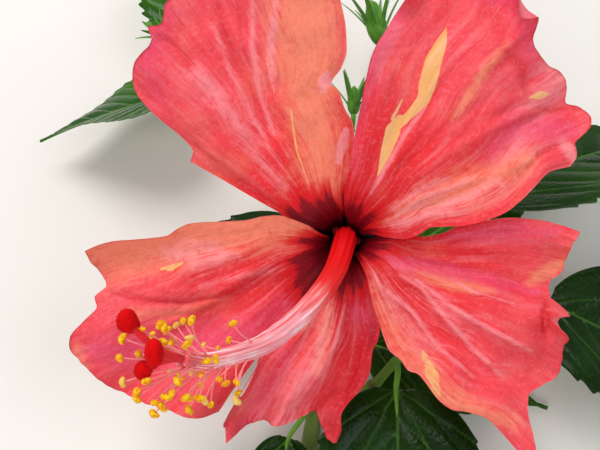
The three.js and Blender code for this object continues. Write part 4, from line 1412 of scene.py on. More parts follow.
LOWER = Petal(
    node="petal_lower",
    clockwise=((12, -122), (19, -120.5), (31, -123), (40.4, -126), (44, -124.4), (50, -123.5), (57.7, -125.2),
               (61.9, -123.2)),
    anticlockwise=((12, -59), (19.8, -66.3), (25.9, -68.3), (29.3, -71.5), (31.8, -76), (37.9, -79.9),
                   (41.8, -83.9), (46, -89), (50, -91.4), (54, -91.2)),
    margin=((-120.4, 66.8), (-118.5, 61.9), (-114, 57.4), (-110, 56.3), (-103.8, 52.6), (-100.5, 51),
            (-97.4, 54.4), (-95, 58), (-92.6, 58.4)),
    laps=(1, -1), lift=0, reflex=6, ruffle=2.4, waves=4.0, phase=1.7,
    eye=(15.5, 13.5), seed=41, pleat=0.34, frill=1.0,
    strokes=paint(CREAM,
        (((-94.6, 53.4), (-92, 51.2)), (0.5, 0.5), 0.6, 0.5),
    # The second and third pale lines run beside and along the ridges of the first two folds below: partly the
    # petal's pale streaks, partly painted highlight on the ridges.
    ) + paint(PALE_AND_HIGHLIGHT,
        (((-100, 16), (-105, 34), (-113, 56)), (2, 5, 7), 7, 0.75),
        (((-101.3, 16), (-104, 28.7), (-107.2, 42.3), (-107.5, 52)), (0.3, 0.6, 0.6, 0.3), 0.8),
        (((-90, 17.5), (-96.7, 30.9), (-100.6, 45.4)), (0.2, 0.45, 0.2), 0.6),
        (((-96, 16), (-100, 28), (-104, 40)), (0.2, 0.4, 0.2), 0.6, 0.9),
        (((-110, 18), (-113, 32), (-116, 50)), (0.3, 0.6, 0.3), 0.8, 0.9),
        (((-82, 17), (-84, 26), (-88, 36)), (0.3, 0.7, 0.2), 0.9, 0.8),
    ) + paint(WARM,
        (((-104, 16), (-102, 26), (-103, 36)), (1.2, 2, 1.4), 2.4, 0.9),
        (((-112, 14), (-116, 26)), (1, 1.6), 2, 0.9),
    ) + paint(ROSE,
        (((-82, 16), (-78, 22.8), (-76, 28)), (2, 3, 2), 3),
        (((-116, 34), (-118, 50), (-118, 62)), (2, 3, 2), 3, 0.7),
    ) + paint(WINE_AND_SHADE,
        (((-77.5, 25.7), (-80, 36.8), (-88.3, 46), (-93, 55)), (2, 4.5, 3.5, 3), 4, 1.3),
    ),
    folds=(
        Fold(((-100, 14), (-105, 28.7), (-110, 42.3), (-112, 56)), 0.9, 1.5),
        Fold(((-90, 16), (-96.7, 30.9), (-102, 48)), 1.0, 1.3),
        Fold(((-112, 18), (-116, 34), (-119, 54)), 0.7, 1.5),
        Fold(((-84, 22), (-87, 38), (-94, 54)), -1.3, 1.6),
        Fold(((-78, 22), (-80, 34), (-88, 48)), 0.9, 2.0),
    ),
    curls=(Curl(-126.5, 4, 36, 5),),
)

LEFT = Petal(
    node="petal_left",
    clockwise=((12, 158), (18.1, 158.5), (23.1, 163), (28.4, 168.7), (35, 171.5), (43.5, 174), (46.3, 176),
               (49.3, 178.6), (57.7, 179.8), (63.6, 180.2), (67.5, 181)),
    anticlockwise=((12, 235), (25, 233.4), (45.4, 233), (54.6, 233.2), (60.2, 233.6)),
    margin=((182.4, 71.7), (184.1, 71.6), (187.1, 70.1), (191, 68.4), (192.6, 71.9), (195, 71.4),
            (197.3, 75.6), (199.5, 80), (201.7, 81.2), (204.4, 80.2), (208.2, 78.9), (212.2, 78),
            (215.2, 75.8), (219.6, 71.7), (223.4, 68.6), (227.2, 66.4), (231.2, 64.1), (233.6, 61)),
    laps=(1, -1), lift=7, reflex=2, ruffle=2.4, waves=4.2, phase=2.9,
    eye=(7.5, 21), seed=53, pleat=0.24, frill=0.9, wrinkle=0.13,
    strokes=paint(CREAM,
        (((188.9, 52.2), (189.1, 49.1), (188.1, 45.8)), (0.5, 1.0, 0.5), 0.5, 0.8),
    ) + paint(PALE_AND_HIGHLIGHT,
        (((197.2, 42.3), (200.6, 25.3), (206, 14)), (0.5, 0.8, 0.6), 1.6, 0.85),
        (((180.8, 44), (184.3, 37.2), (188.9, 30)), (1.2, 2.2, 1), 2, 0.8),
        (((184, 50), (187, 41), (188, 33)), (2, 3, 2), 3, 0.8),
    ) + paint(WARM,
        (((183.4, 69.8), (180.8, 59.9), (177.2, 46.1), (171, 29.6), (164, 13)), (5, 8, 9, 7, 4), 7, 1.15),
        (((201.6, 79.5), (206, 79.8)), (1.5, 1.5), 2, 0.9),
        (((199, 62), (204, 50), (206, 38)), (1, 2, 1), 3, 0.8),
    ) + paint(ROSE,
        (((204.1, 74), (213.7, 55.3), (223.5, 36.5), (232, 17)), (4, 6, 4, 2), 5, 0.95),
    # The second wine stroke lies in the groove of the fifth fold below: painted shade.
    ) + paint(WINE_AND_SHADE,
        (((200, 26), (207, 44), (207, 60)), (1, 2, 1.4), 2.4, 0.7),
        (((192.6, 67), (197.1, 57.8), (201.3, 47.6), (204.2, 38.8)), (0.3, 0.5, 0.5, 0.3), 0.9),
    ),
    folds=(
        Fold(((196, 16), (200, 30), (205, 46), (206, 62)), 1.0, 1.7),
        Fold(((203, 20), (210, 36), (213, 54)), -0.9, 1.7),
        Fold(((186, 20), (189, 40), (192, 62)), 0.6, 2.2),
        Fold(((216, 20), (220, 40), (221, 60)), 0.8, 1.8),
        Fold(((190.6, 69.5), (197.1, 57.8), (201.3, 47.6), (204.2, 38.8), (207.6, 27.7)), -1.3, 0.9),
        Fold(((196, 50), (198.1, 46), (199.7, 42)), 0.5, 0.6),
        Fold(((193, 55), (195, 52), (198, 50)), 0.5, 0.6),
        Fold(((201.8, 58.6), (205.5, 47.9), (208.3, 36.4)), -0.9, 0.8),
    ),
)


@dataclass(frozen=True)
class Corolla:
    """The five petals."""

    petals: tuple[Petal, ...] = (UPPER_LEFT, UPPER_RIGHT, RIGHT, LOWER, LEFT)

    def build(self, here: Setting) -> None:
        """Build each petal as a piece of its own.

        Args:
            here: the frames, the finishes and the petals' section.
        """
        for petal in self.petals:
            body, look = petal.body(here.funnel), here.finishes.petal
            write_piece(petal.node + "_silk", [body], here.bloom, look, (petal.node,))


@dataclass(frozen=True)
class StamenColumn:
    """The column, its stamens, and the five pads at its tip."""

    path: tuple = (
        (0, 0, 0.3), (0, 0.5, 9), (0, 0.2, 18), (-2.7, -8, 31), (-7.3, -14.6, 46),
        (-12.3, -19, 58), (-17.1, -21.6, 69), (-21, -22, 78), (-25, -21.8, 86), (-27.8, -20.2, 92),
    )
    foot_radius: float = 3.3
    tip_radius: float = 1.3
    rings: int = 240
    sides: int = 72
    ribs: int = 5
    rib_height: float = 0.14
    collar_height: float = 6.4
    collar_flare: float = 1.5
    thread_radius: float = 0.16
    thread_rings: int = 12
    thread_sides: int = 7
    anther_length: float = 0.8
    anther_reach: float = 10.0
    grains: int = 46
    hidden_stamens: int = 14
    stamens_from: float = 0.56
    far_from: float = 0.72
    far_steps: int = 61
    pads: tuple = (
        ((-34.9, -12.9, 99), (1.6, 1.9, 1.5)), ((-29.8, -17.6, 101), (1.4, 2.2, 1.5)),
        ((-33.2, -21.4, 96), (1.4, 1.5, 1.4)), ((-33.6, -21, 90.6), (1.3, 1.4, 1.3)),
        ((-36.7, -14.6, 91.6), (1.3, 1.4, 1.3)),
    )
    pad_hairs: int = 1500
    hair_radius: float = 0.045
    style_radius: float = 0.55
    # Where the photograph shows the pollen heads, in pixels of its 600 by 450 frame.
    anther_pixels: tuple = (
        (143, 330), (165, 328), (161, 325), (168, 331), (177, 326), (184, 322), (192, 321), (164, 342),
        (173, 343), (187, 345), (190, 338), (233, 324), (121, 358), (124, 339), (207, 361), (216, 359),
        (194, 373), (178, 381), (181, 376), (172, 393), (167, 396), (189, 398), (205, 400), (211, 404),
        (200, 397), (226, 383), (237, 382), (238, 392), (237, 400), (155, 402), (163, 406), (155, 413),
        (138, 391), (138, 397), (124, 382), (147, 381), (186, 397), (140, 354), (190, 409), (153, 336),
    )

    def course(self) -> Course:
        """Lay the column's line."""
        return Course(self.path)

    def radius(self, share: Array) -> Array:
        """Give the column's radius at a share of its length."""
        return lerp(self.foot_radius, self.tip_radius, share**1.6)

    def column(self) -> Body:
        """Build the column, with shallow ribs and a five-lobed collar at its foot.

        Returns:
            The closed column.
        """
        course = self.course()
        share, scale = capped(0.0, self.rings, (0.3, 0.8), (0.9, 0.6, 0.3))
        turn, along = around(self.sides)[None], share[:, None]
        height = along * course.length
        lobes = 0.5 + 0.5 * np.cos(5 * turn + 0.6)
        edge = 1 - smooth((height - self.collar_height + 0.9 * (1 - lobes)) / 0.5)
        collar = self.collar_flare * smooth((height - 2.2) / 3.4) * edge * (0.35 + 0.65 * lobes)
        ribs = self.rib_height * np.cos(self.ribs * 2 * turn + 3 * along) * smooth(along * 6)
        lumps = 0.07 * ripple(turn * 4, height, 71, (2, 6), 1.2) * smooth((along - 0.4) * 3)
        radii = (self.radius(along) + ribs + lumps + collar) * scale[:, None]
        point = smooth((lobes - 0.6) * 5) * smooth(1 - np.abs(height - self.collar_height + 0.4) / 1.5)
        fields = {"along": along, "turn": np.abs(turn / math.pi - 1), "thread": 0.0, "collar": point}
        return tube(*course.frames(share), radii, fields)

    def thread(self, root: Array, ahead: Array, end: Array) -> Body:
        """Build one stamen's thread, which leaves the column forwards and bows to its head.

        Args:
            root: where it leaves the column's line.
            ahead: the column's direction there.
            end: the pollen head's place.

        Returns:
            The closed thread.
        """
        t = np.linspace(0, 1, self.thread_rings)
        reach = np.linalg.norm(end - root)
        points = bow(root, lerp(root, end, 0.55) + ahead * 0.16 * reach, end, t)
        radii = np.repeat((self.thread_radius * (1.25 - 0.5 * t))[:, None], self.thread_sides, axis=1)
        fields = {"along": 0.8, "turn": 0.5, "thread": 1.0, "collar": 0.0}
        return tube(*Course(points).frames(t), radii, fields)

    def anther(self, place: Array, out: Array, number: int) -> list[Body]:
        """Build one pollen head: a kidney-shaped lump strewn with grains.

        Args:
            place: its middle.
            out: the direction in which its thread comes in.
            number: picks its turn, size and colour.

        Returns:
            The lump and its grains.
        """
        draw = np.random.default_rng(900 + number)
        across = unit(np.cross(out, draw.normal(size=3)))
        lift = np.cross(across, out)
        size = self.anther_length * draw.uniform(0.8, 1.15)
        bleach = float(draw.uniform(0.5, 1) if number % 6 == 4 else draw.uniform(0, 0.2))
        t = np.linspace(0.02, 0.98, 9)
        swing = (t - 0.5) * 2.6
        centres = place + size * (np.sin(swing)[:, None] * across + (np.cos(swing)[:, None] - 0.6) * out)
        tangents = unit(np.gradient(centres, axis=0))
        sides = np.repeat(lift[None, :], len(t), axis=0)
        ups = np.cross(tangents, sides)
        girth = 0.66 * size * np.sin(math.pi * t) ** 0.45
        radii = girth[:, None] * (1 + 0.12 * draw.normal(size=(len(t), 10)))
        bodies = [tube(centres, sides, ups, radii, {"bleach": bleach})]
        corners = np.array([[1, 0, 0], [-1, 0, 0], [0, 1, 0], [0, -1, 0], [0, 0, 1], [0, 0, -1]], float)
        belt = ((0, 2), (2, 1), (1, 3), (3, 0))
        faces = np.array([[a, b, 4] for a, b in belt] + [[b, a, 5] for a, b in belt])
        for _ in range(self.grains):
            k = int(draw.integers(1, len(t) - 1))
            turn = draw.uniform(0, 2 * math.pi)
            middle = centres[k] + girth[k] * 1.05 * (sides[k] * math.cos(turn) + ups[k] * math.sin(turn))
            points = middle + corners * draw.uniform(0.07, 0.12)
            tone = np.full(6, min(1.0, bleach + draw.uniform(0, 0.25)))
            bodies.append(Body(points, [faces], {"bleach": tone}))
        return bodies

    def seen_stamens(self, here: Setting) -> list[tuple[Array, Array, Array]]:
        """Place the stamens that face the camera, each head on the line of its pixel.

        Args:
            here: the camera and the frames.

        Returns:
            Root, direction of the column and head of each.
        """
        course = self.course()
        shares = np.linspace(self.stamens_from, 1.0, 90)
        line = course.at(shares)
        eye = here.eye()
        found = []
        for k, pixel in enumerate(self.anther_pixels):
            way = here.bloom.own_way(here.branch.turn @ here.sight.way(pixel))
            depth = (line - eye) @ way
            near = eye + depth[:, None] * way
            gaps = np.linalg.norm(near - line, axis=1)
            i = int(np.argmin(gaps))
            reach = self.anther_reach * lerp(0.75, 1.0, scatter(k, 2))
            spare = math.sqrt(max(reach**2 - gaps[i] ** 2, 0.0)) * (1 if scatter(k, 4) < 0.35 else -1)
            head = near[i] + way * spare * 0.8
            share = float(np.clip(shares[i] - lerp(0.03, 0.1, scatter(k, 3)), self.stamens_from, 0.985))
            found.append((course.at(share), course.ahead(share), head))
        return found

    def far_stamens(self, here: Setting) -> list[tuple[Array, Array, Array]]:
        """Place the stamens on the column's far side by the plant's own turning rule.

        Args:
            here: the camera and the frames.

        Returns:
            Root, direction of the column and head of each.
        """
        course = self.course()
        eye = here.eye()
        found = []
        for k in range(2 * self.far_steps):
            share = lerp(self.far_from, 0.975, (k % self.far_steps + 0.5) / self.far_steps)
            root, ahead = course.at(share), course.ahead(share)
            side = unit(np.cross(UP, ahead))
            up = np.cross(ahead, side)
            out = side * math.cos(k * GOLDEN_TURN) + up * math.sin(k * GOLDEN_TURN)
            towards = eye - root
            square = unit(towards - ahead * (towards @ ahead))
            if out @ square > -0.7 or len(found) >= self.hidden_stamens:
                continue
            aim = unit(out + ahead * lerp(0.1, 0.75, scatter(k, 1)))
            found.append((root, ahead, root + aim * lerp(5.0, 8.0, scatter(k, 2))))
        return found

    def pad(self, place: Array, half: Array) -> Body:
        """Build one pad, without its hairs.

        Args:
            place: its middle.
            half: half its size across, along and deep.

        Returns:
            The closed egg.
        """
        rows, count = 26, 36
        t = np.linspace(0.03, 0.97, rows)
        turn = around(count)
        way = np.array([0, 1.0, 0])
        centres = place - way * (np.cos(math.pi * t) * half[1])[:, None]
        round_about = 1 / np.sqrt((np.cos(turn) / half[0]) ** 2 + (np.sin(turn) / half[2]) ** 2)
        radii = np.sin(math.pi * t)[:, None] * round_about
        side, up = np.array([1.0, 0, 0]), np.array([0, 0, -1.0])
        fields = {"tip": 0.0, "style": 0.0}
        return tube(centres, np.tile(side, (rows, 1)), np.tile(up, (rows, 1)), radii, fields)

    def hairs(self, place: Array, half: Array, number: int) -> Body:
        """Build a pad's hairs as slim three-sided spikes.

        Args:
            place: the pad's middle.
            half: half its size across, along and deep.
            number: picks where they stand.

        Returns:
            All of them.
        """
        draw = np.random.default_rng(500 + number)
        ball = unit(draw.normal(size=(self.pad_hairs, 3)))
        out = unit(ball / half)
        side = unit(np.cross(out, draw.normal(size=(self.pad_hairs, 3))))
        up = np.cross(out, side)
        foot = place + ball * half * 0.97
        length = draw.uniform(0.16, 0.34, (self.pad_hairs, 1))
        corners = [foot + self.hair_radius * (side * math.cos(a) + up * math.sin(a)) for a in (0, 2.1, 4.2)]
        points = np.stack([*corners, foot + (out + 0.2 * side) * length], axis=1).reshape(-1, 3)
        spike = np.array([[0, 1, 3], [1, 2, 3], [2, 0, 3], [0, 2, 1]])
        faces = (spike[None] + 4 * np.arange(self.pad_hairs)[:, None, None]).reshape(-1, 3)
        tips = np.tile([0.1, 0.1, 0.1, 1.0], self.pad_hairs)
        return Body(points, [faces], {"tip": tips, "style": np.zeros(len(tips))})

    def style(self, start: Array, ahead: Array, end: Array) -> Body:
        """Build the branch of the style that carries one pad.

        Args:
            start: where it leaves the column's tip.
            ahead: the column's direction there.
            end: the pad's middle.

        Returns:
            The closed branch.
        """
        t = np.linspace(0, 1, 22)
        fork = start + ahead * 1.3
        bend = fork + ahead * 0.45 * np.linalg.norm(end - fork)
        radii = np.repeat((self.style_radius * lerp(1.35, 0.9, t))[:, None], 14, axis=1)
        fields = {"tip": 0.0, "style": lerp(1.0, 0.4, t)[:, None]}
        return tube(*Course(bow(start, bend, end, t)).frames(t), radii, fields)

    def build(self, here: Setting) -> None:
        """Build the column, its threads and pollen heads, and the pads.

        Args:
            here: the camera, the frames and the finishes.
        """
        bloom, finishes = here.bloom, here.finishes
        threads, heads = [], []
        stamens = self.seen_stamens(here) + self.far_stamens(here)
        for number, (root, ahead, head) in enumerate(stamens):
            threads.append(self.thread(root, ahead, head))
            heads.extend(self.anther(head, unit(head - root), number))
        write_piece("column_wax", [self.column()], bloom, finishes.column, ("stamen_column",))
        write_piece("stamen_threads", threads, bloom, finishes.column)
        write_piece("pollen_heads", heads, bloom, finishes.pollen)
        tip, ahead = self.course().at(1.0), self.course().ahead(1.0)
        bodies = []
        for number, (place, half) in enumerate(self.pads):
            end, size = np.array(place, float), np.array(half, float)
            bodies.append(self.style(tip + ahead * GAP, ahead, end))
            bodies.append(self.pad(end, size))
            bodies.append(self.hairs(end, size, number))
        write_piece("stigma_pads", bodies, bloom, finishes.stigma, ("stigmas",))


def bract(foot: Array, ahead: Array, out: Array, length: float, width: float, spread: float) -> Body:
    """Build a narrow pointed bract that leaves an axis and bends outwards.

    Args:
        foot: where it starts.
        ahead: the axis's direction.
        out: the direction away from the axis.
        length: its length.
        width: its greatest width.
        spread: how far its tip stands off, as a share of the length.

    Returns:
        The closed bract, keeled along its middle.
    """
    rows, columns = 40, 11
    t = np.linspace(0, 1, rows)
    c = np.linspace(-1, 1, columns)
    bend = foot + ahead * length * 0.45 + out * length * spread * 0.35
    tip = foot + ahead * length * 0.8 + out * length * spread
    line = bow(foot, bend, tip, t)
    along = unit(np.gradient(line, axis=0))
    side = unit(np.cross(ahead, out))
    face = np.cross(along, side)
    half = width / 2 * (0.1 + 0.9 * np.sin(math.pi * (0.2 + 0.8 * t)).clip(0, 1) ** 0.8)
    keel = 0.28 * half[:, None] * (1 - np.abs(c)) ** 1.4
    middle = line[:, None] + side * (half[:, None] * c)[..., None] + face[:, None] * keel[..., None]
    thick = 0.5 * np.ones((rows, 1)) * (1.05 - 0.75 * np.abs(c)) * lerp(1, 0.5, t)[:, None]
    body = sheet_body(middle, thick, {"along": t[:, None], "across": c})
    body.fields.pop("under")
    body.uv = None
    return body


def ring_directions(axis: Array, count: int, start: float = 0.0) -> list[Array]:
    """Give even directions square to an axis.

    Args:
        axis: the axis's direction.
        count: how many there are.
        start: the turn of the first, in radians.

    Returns:
        The directions.
    """
    side = unit(np.cross([1, 0.2, 0], axis))
    up = np.cross(axis, side)
    turns = [start + k / count * 2 * math.pi for k in range(count)]
    return [side * math.cos(a) + up * math.sin(a) for a in turns]


@dataclass(frozen=True)
class Calyx:
    """The green cup under the bloom, its collar of bracts and the flower stalk."""

    notch: float = 13.0
    point: float = 24.0
    bottom: float = -3.0
    thick: float = 0.8
    petal_half: float = 0.45
    bract_count: int = 7
    bract_length: float = 12.0
    bract_width: float = 2.6
    bract_spread: float = 1.1
    bract_foot: tuple[float, float] = (4.4, -4.4)
    collar_radius: float = 5.0
    collar_depth: float = 1.9
    stalk: tuple = ((-4, -8.5, 3), (-3.6, 4.5, 10), (-1.2, 12, 22), (1, 8, 32.5))
    stalk_radius: float = 1.6
    stalk_start: float = 0.03
    stalk_rings: int = 130
    stalk_sides: int = 28

    def section(self, funnel: Funnel, s: Array, out: float) -> tuple[Array, Array]:
        """Give the radius and height of a skin outside the petals.

        Args:
            funnel: the petals' section.
            s: the distance along the petals.
            out: how far off them it lies.

        Returns:
            The radius and the height.
        """
        radius, height = funnel.at(s)
        off = self.petal_half + 1.1 * funnel.lap(s) + GAP + out
        slope = funnel.slope(s)
        return radius + off * np.cos(slope), height - off * np.sin(slope)

    def cup(self, funnel: Funnel) -> Body:
        """Build the cup with its five pointed lobes.

        Args:
            funnel: the bloom's section.

        Returns:
            The closed cup, worked as rings from its inner floor over the lobes to its underside.
        """
        count = 200
        turn = around(count)
        saw = np.abs((turn / (2 * math.pi) * 5) % 1 - 0.5) * 2
        top = lerp(self.notch, self.point, saw**0.8)
        shares = np.linspace(0.02, 1, 22)[:, None]
        inner = self.section(funnel, shares * top, 0.05)
        outer = self.section(funnel, shares[::-1] * top, self.thick)
        veins = 0.12 * np.cos(turn * 15)[None, :] * smooth(shares[::-1] * 2) * (1.05 - shares[::-1])
        foot = float(inner[0][0].mean())
        floor = np.array([0.3, 0.6, 0.9])[:, None] * foot * np.ones((1, count))
        under = np.array([0.9, 0.75, 0.5, 0.2])[:, None] * foot * np.ones((1, count))
        sink = np.array([self.bottom * 0.7, self.bottom, self.bottom, self.bottom])[:, None]
        radii = np.vstack([floor, inner[0], outer[0] + veins, under])
        heights = np.vstack([floor * 0, inner[1], outer[1], sink * np.ones((1, count))])
        rows = len(radii)
        points = np.stack([radii * np.cos(turn), radii * np.sin(turn), heights], axis=-1).reshape(-1, 3)
        points = np.vstack([points, [[0, 0, 0]], [[0, 0, self.bottom]]])
        ring = np.arange(count)
        after = (ring + 1) % count
        last = (rows - 1) * count
        foot_fan = fan(rows * count, ring, after)
        head_fan = fan(rows * count + 1, last + after, last + ring)
        along = np.clip(heights / 20, 0, 1)
        across = np.cos(turn * 15)[None] * np.ones((rows, 1))
        inside = (np.arange(rows) < len(floor) + len(shares))[:, None] * np.ones((1, count))
        parts = {"along": along, "across": across, "inside": inside}
        fields = {k: np.concatenate([v.ravel(), [k == "inside", 0]]) for k, v in parts.items()}
        return Body(points, [grid_faces(rows, count, closed=True)[:, ::-1], foot_fan, head_fan], fields)

    def collar(self) -> list[Body]:
        """Build the ring of bracts under the cup.

        Returns:
            The disc that they stand on, and the bracts.
        """
        top = self.bottom - GAP
        hole = self.stalk_radius + GAP
        wide = self.collar_radius
        z = np.array([top - 0.02, top, top - 0.4, top - 1.1, top - 1.6, top - self.collar_depth])
        r = np.array([hole, wide - 0.3, wide, wide - 0.1, 3.9, hole])
        count = 60
        turn = around(count)
        out, height = r[:, None], z[:, None] + 0 * turn
        points = np.stack([out * np.cos(turn), out * np.sin(turn), height], axis=-1).reshape(-1, 3)
        faces = grid_faces(len(r), count, closed=True)
        last = (len(r) - 1) * count
        ring = np.arange(count)
        after = (ring + 1) % count
        inner = np.stack([last + ring, last + after, after, ring], axis=1)
        fields = {"along": np.zeros(len(points)), "across": np.tile(np.cos(turn * 9), len(r))}
        bodies = [Body(points, [faces[:, ::-1], inner[:, ::-1]], fields)]
        for out in ring_directions(UP, self.bract_count):
            foot = out * self.bract_foot[0] + UP * self.bract_foot[1]
            bodies.append(bract(foot, UP, out, self.bract_length, self.bract_width, self.bract_spread))
        return bodies

    def build(self, here: Setting) -> None:
        """Build the cup, the collar and the stalk.

        Args:
            here: the frames, the finishes and the petals' section.
        """
        branch, bloom, look = here.branch, here.bloom, here.finishes.calyx
        write_piece("calyx_cup", [self.cup(here.funnel)], bloom, look, ("calyx",))
        write_piece("epicalyx_bracts", self.collar(), bloom, look, ("epicalyx",))
        near, top = (
            branch.own(bloom.packed(np.array([0, 0, z]))) for z in (self.bottom - 5, self.bottom - GAP)
        )
        course = Course(np.vstack([np.array(self.stalk, float), near, top]))
        share, scale = capped(self.stalk_start, self.stalk_rings, (0.5, 0.95), (0.95, 0.5))
        turn, along = around(self.stalk_sides)[None], share[:, None]
        joint = 0.35 * np.exp(-(((along - 0.72) / 0.014) ** 2))
        foot = 0.6 * np.exp(-(((along - 0.05) / 0.05) ** 2))
        ribs = 0.07 * np.cos(5 * turn) + 0.04 * ripple(turn * 3, along * 40, 77, (2, 6), 1.0)
        radii = (self.stalk_radius - 0.12 + joint + foot + ribs) * scale[:, None]
        stalk = tube(*course.frames(share), radii, {"along": along * 0.7, "across": np.cos(turn * 5)})
        write_piece("flower_stalk_green", [stalk], branch, look, ("flower_stalk",))


@dataclass(frozen=True)
class Limb:
    """A woody limb: points on its line, the radius at each, and where its leaf scars are."""

    node: str
    path: tuple
    radii: tuple[float, ...]
    seed: int
    cut: bool = False
    crease: float = 0.0
    start: float = 0.0
    scars: tuple[float, ...] = ()
    sides: int = 48
    rows: int = 160
    twig_age: float = 0.66

    def course(self) -> Course:
        """Lay the limb's line."""
        return Course(self.path)

    def radius(self, share: Array) -> Array:
        """Give the radius at a share of the length."""
        return np.interp(share, np.linspace(0, 1, len(self.radii)), self.radii)

    def body(self) -> Body:
        """Build the limb with its bark's relief.

        Returns:
            The closed limb. The field "wood" runs from 0 on the bark to 1 at the pith of the cut.
        """
        course, seed = self.course(), self.seed
        rings = np.linspace(0.04, 0.985, 9)
        share, scale = capped(self.start, self.rows, rings, (0.9, 0.6, 0.25))
        wood = np.zeros(len(share))
        if self.cut:
            wood[: len(rings)] = 1 - rings
        turn, along = around(self.sides)[None], share[:, None]
        height = along * course.length
        x, y = np.cos(turn), np.sin(turn)
        lumps = 0.10 * ripple(x * 4 + y * 2, height, seed, (5, 16), 1.4)
        grooves = 0.05 * ripple(turn * 3.5, height * 0.3, seed + 1, (0.7, 1.8), 0.3)
        pores = np.clip(ripple(turn * 5, height * 1.4, seed + 2, (1.0, 2.2), 3.1) - 1.35, 0, 1)
        swell, mark = np.zeros_like(along), np.zeros((len(share), self.sides))
        for k, place in enumerate(self.scars):
            near = np.exp(-(((height - place * course.length) / 1.6) ** 2))
            facing = smooth(0.3 + np.cos(turn - k * GOLDEN_TURN))
            swell = swell + 0.35 * near
            mark = np.maximum(mark, near * facing)
        relief = lumps + grooves + 0.12 * pores + swell * 0.6 + 0.3 * mark - 0.12
        radii = (self.radius(along) + relief * smooth(scale[:, None] * 1.1 - 0.1)) * scale[:, None]
        fields = {
            "along": along if self.cut else lerp(self.twig_age, 1, along),
            "turn": np.abs(turn / math.pi - 1), "pore": pores, "scar": mark, "wood": wood[:, None],
        }
        return tube(*course.frames(share), radii, fields)


STEM = Limb(
    node="stem", seed=60, cut=True, crease=50.0, sides=72, rows=420,
    scars=(0.14, 0.27, 0.4, 0.52, 0.62, 0.76, 0.88, 0.95),
    path=((-27, -152, 3.4), (-19, -108, 3.2), (-12, -62, 3), (-4.5, -18, 2.7), (3, 22, 2.3),
          (6, 48, 2.6), (7, 64, 4)),
    radii=(3.4, 3.2, 3, 2.6, 2.2, 1.7, 1.2),
)
LEFT_TWIG = Limb(
    node="left_twig", seed=61, start=0.03, scars=(0.4, 0.74, 0.9),
    path=((2.4, 24, 2.6), (-14, 44, 7), (-33, 60, 12.5), (-50, 78, 17)), radii=(1.9, 1.6, 1.3, 1),
)
RIGHT_TWIG = Limb(
    node="right_twig", seed=62, start=0.03, scars=(0.28, 0.55, 0.8),
    path=((-9.4, -47, 3), (7.4, -41.7, 9), (18.3, -31.7, 12), (35, -17, 14), (50, -2, 16)),
    radii=(2, 1.85, 1.65, 1.35, 1.1),
)


def stalk_course(root: Array, end: Array, inside: Array) -> Course:
    """Lay a stalk that leaves its limb, rises a little and runs on into what it carries."""
    middle = lerp(root, end, 0.5) + np.array([0, 0, 4.2])
    return Course(np.vstack([root, middle, end, inside]))


